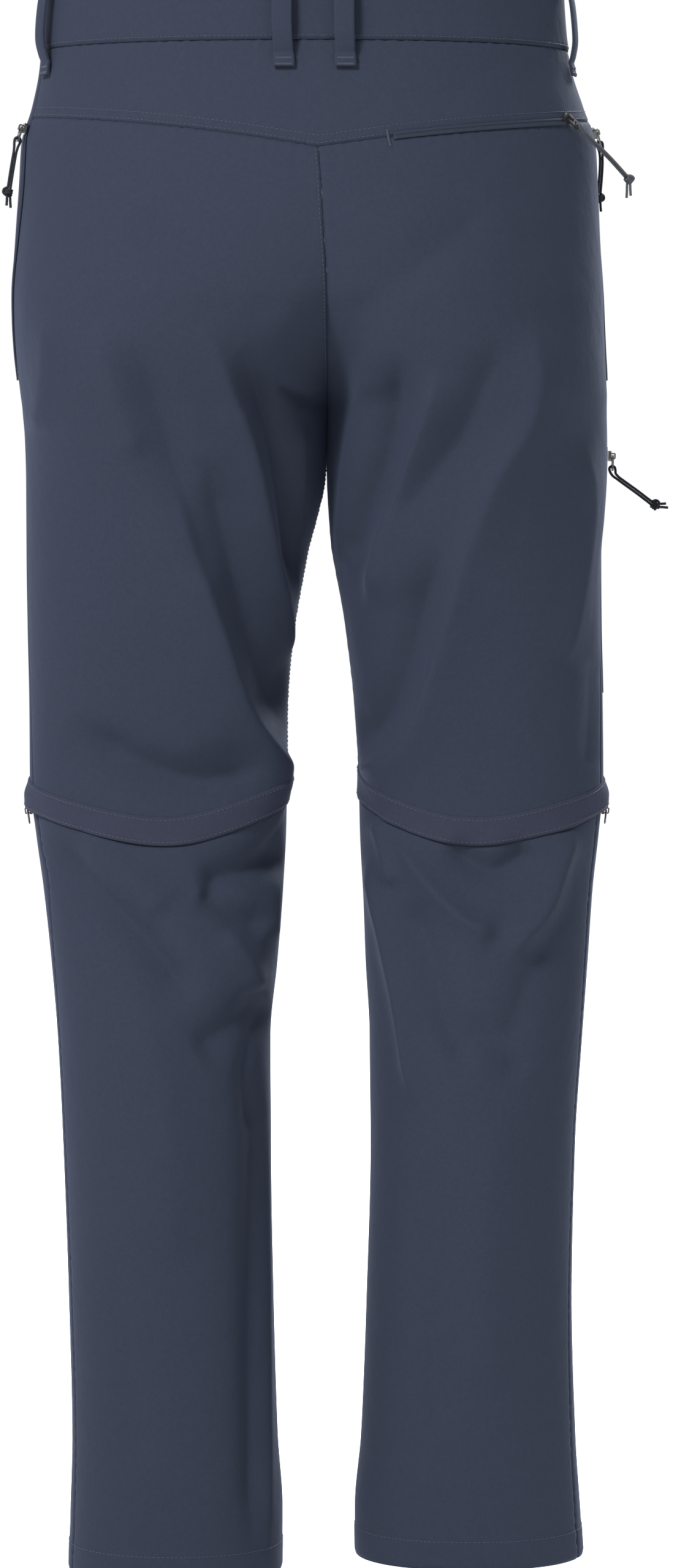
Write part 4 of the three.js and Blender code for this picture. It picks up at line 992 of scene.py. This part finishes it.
def pocket_zip(name, side, angle, z, upright):
    """Two folded lips of cloth and the closed coil between them."""
    half = POCKET_ZIP["width"] / 2
    lift = POCKET_ZIP["lift"] + POCKET_ZIP["thick"]
    points, normals = strip_grid(side, angle, z, half, lift, upright, 16, lipped)
    lips = shell(f"{name}_lips", points, points - normals * POCKET_ZIP["thick"], CLOTH_MAT, "slate_cloth")
    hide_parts(name)
    middle = points.shape[1] // 2
    line, out = points[:, middle] + normals[:, middle] * 0.1, normals[:, middle]
    make_object(f"{name}_coil", *zip_teeth(line, out, POCKET_TEETH), ZIP_MAT, "zip_black")


def back_zip_line():
    """Angles and levels of the back pocket's zip, which lies along the yoke's seam."""
    across = np.linspace(BACK_ZIP["from"], BACK_ZIP["to"], 60)
    z = np.full(across.shape, -90.0)
    for _ in range(6):
        angle = angle_across(-1.0, z, across, 1)
        start = loop_at(-1.0, z)["seam"]
        z = yoke_edge((angle - start) / (math.pi / 2 - start))
    return angle, z


angle, z = back_zip_line()
pocket_zip("back_pocket_zip", -1.0, angle, z, False)
for name, side in BODY_SIDES:
    z = np.linspace(HAND_ZIP["top"], HAND_ZIP["bottom"], 70)
    pocket_zip(f"hand_zip_{name}", side, loop_at(side, z)["seam"], z, True)
z = np.linspace(THIGH_ZIP["top"], THIGH_ZIP["bottom"], 70)
pocket_zip("thigh_pocket_zip", -1.0, np.full(z.shape, math.radians(THIGH_ZIP["angle"])), z, True)

for name, side in BODY_SIDES:
    points, normals = GRIDS[f"knee_tape_{name}"]
    teeth = zip_teeth(points[3] + normals[3] * 0.2, normals[3], KNEE_TEETH)
    make_object(f"knee_coil_{name}", *teeth, ZIP_MAT, "zip_black")


# Upright tacks at the back pocket's inner and outer end: the level and distance from the middle that give
# its angle, its two end levels, its width and its thread

END_TACKS = (("back_pocket_tack", -92.0, 45.0, -86.0, -97.0, 2.0, THREAD_MAT),
             ("pale_tacks", -76.0, 163.5, -73.5, -78.5, 1.6, PALE_MAT))
for name, level, across, top, foot, width, material in END_TACKS:
    angle = angle_across(-1.0, np.array(level), np.array(across), 1)
    z = np.linspace(top, foot, 6)
    stitches(name, [tack(*cloth(-1.0, angle + 0 * z, z, TACK["lift"]), width)], material)


# Wire pulls of the knee sliders

for name, side in BODY_SIDES:
    body = f"knee_ring_{name}"
    level = float(cover_top(KNEE["slider_angle"]) - COVER["height"] - KNEE["slider_drop"])
    turn, at = hinge_frame(body, side, math.degrees(KNEE["slider_angle"]), level)
    loop = np.array([(x, y, 0) for x, y in WIRE_POINTS + WIRE_POINTS[:1]], float)
    path = smooth_line(loop, 8)[:-1]
    ring = tube(in_frame(turn, at, path), WIRE_RADIUS, 12, closed=True)
    wire = make_object(f"knee_wire_{name}", *ring, METAL_MAT, "metal_black", body)
    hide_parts(f"knee_pull_{name}")


# Button: a disc with a raised rim and four holes

def make_button():
    """Disc over a polar grid: flat middle, raised rim, and a dip at each hole."""
    angle = math.radians(LAP["over"] / 2 - 90)
    at, out = cloth(-1.0, np.array(angle), np.array(BUTTON["level"]), BAND["proud"] + SEAM)
    turns = np.linspace(0, 2 * math.pi, 72, endpoint=False)
    r, turn = np.meshgrid(np.linspace(0, BUTTON["radius"], 40), turns, indexing="ij")
    x = r * np.cos(turn)
    y = r * np.sin(turn)
    holes = BUTTON["hole_at"] * np.array(BUTTON_HOLES)
    rim = BUTTON["rim"] * smooth(r, 5.2, 6.6)
    top = BUTTON["thick"] - BUTTON["rim"] + rim - 1.1 * smooth(r, 7.7, BUTTON["radius"]) ** 2
    for hx, hy in holes:
        top -= 1.4 * np.exp(-(((x - hx) ** 2 + (y - hy) ** 2) / 0.55) ** 2)
    base = np.where(r > 3, 0.9, 0.25)
    aside = unit(np.cross([0, 0, 1], out))
    up = np.cross(out, aside)
    lay = lambda h: at + x[..., None] * aside + y[..., None] * up + h[..., None] * out
    obj = shell("button_disc", lay(top), lay(base), BUTTON_MAT, "button_dark", ring=True)
    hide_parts("waist_button")
    middle = lay(np.full(r.shape, BUTTON["thick"] - BUTTON["thread_down"]))[0, 0]
    corner = np.array([middle + hx * aside + hy * up for hx, hy in holes])
    stitches("button_thread", [threads(corner[:2], corner[2:], np.array([out, out]), 0.4)])


make_button()


# Finishes of the solids that stay in view

for node in frame["nodes"].values():
    if node.hide_render:
        continue
    node.data.materials.clear()
    node.data.materials.append(METAL_MAT)
    soften = node.modifiers.new("soft_edges", "BEVEL")
    soften.width = SOFT_EDGE * MM
    soften.segments = 2
    soften.limit_method = "ANGLE"


# Floor and light

def make_floor():
    """Pale plane below the hems."""
    half = FLOOR["half"]
    corners = [(x * half, y * half, FLOOR["level"]) for x, y in ((-1, -1), (1, -1), (1, 1), (-1, 1))]
    mesh = bpy.data.meshes.new("floor")
    mesh.from_pydata(corners, [], [(0, 1, 2, 3)])
    mesh.materials.append(new_material("floor", (FLOOR["grey"],) * 3, 0.9))
    placed("floor", mesh)


def area_light(name, at, size, power):
    """Square soft light turned to the lit point."""
    data = bpy.data.lights.new(name, "AREA")
    data.size = size
    data.energy = power
    obj = placed(name, data)
    obj.location = at
    obj.rotation_euler = (Vector(LIT_POINT) - Vector(at)).to_track_quat("-Z", "Y").to_euler()


make_floor()
world = bpy.data.worlds.new("world")
bpy.context.scene.world = world
world.use_nodes = True
set_inputs(world.node_tree.nodes["Background"], Color=(1, 1, 1, 1), Strength=1.0)
for light in LIGHTS:
    area_light(*light)
bpy.context.scene.view_settings.view_transform = "Standard"
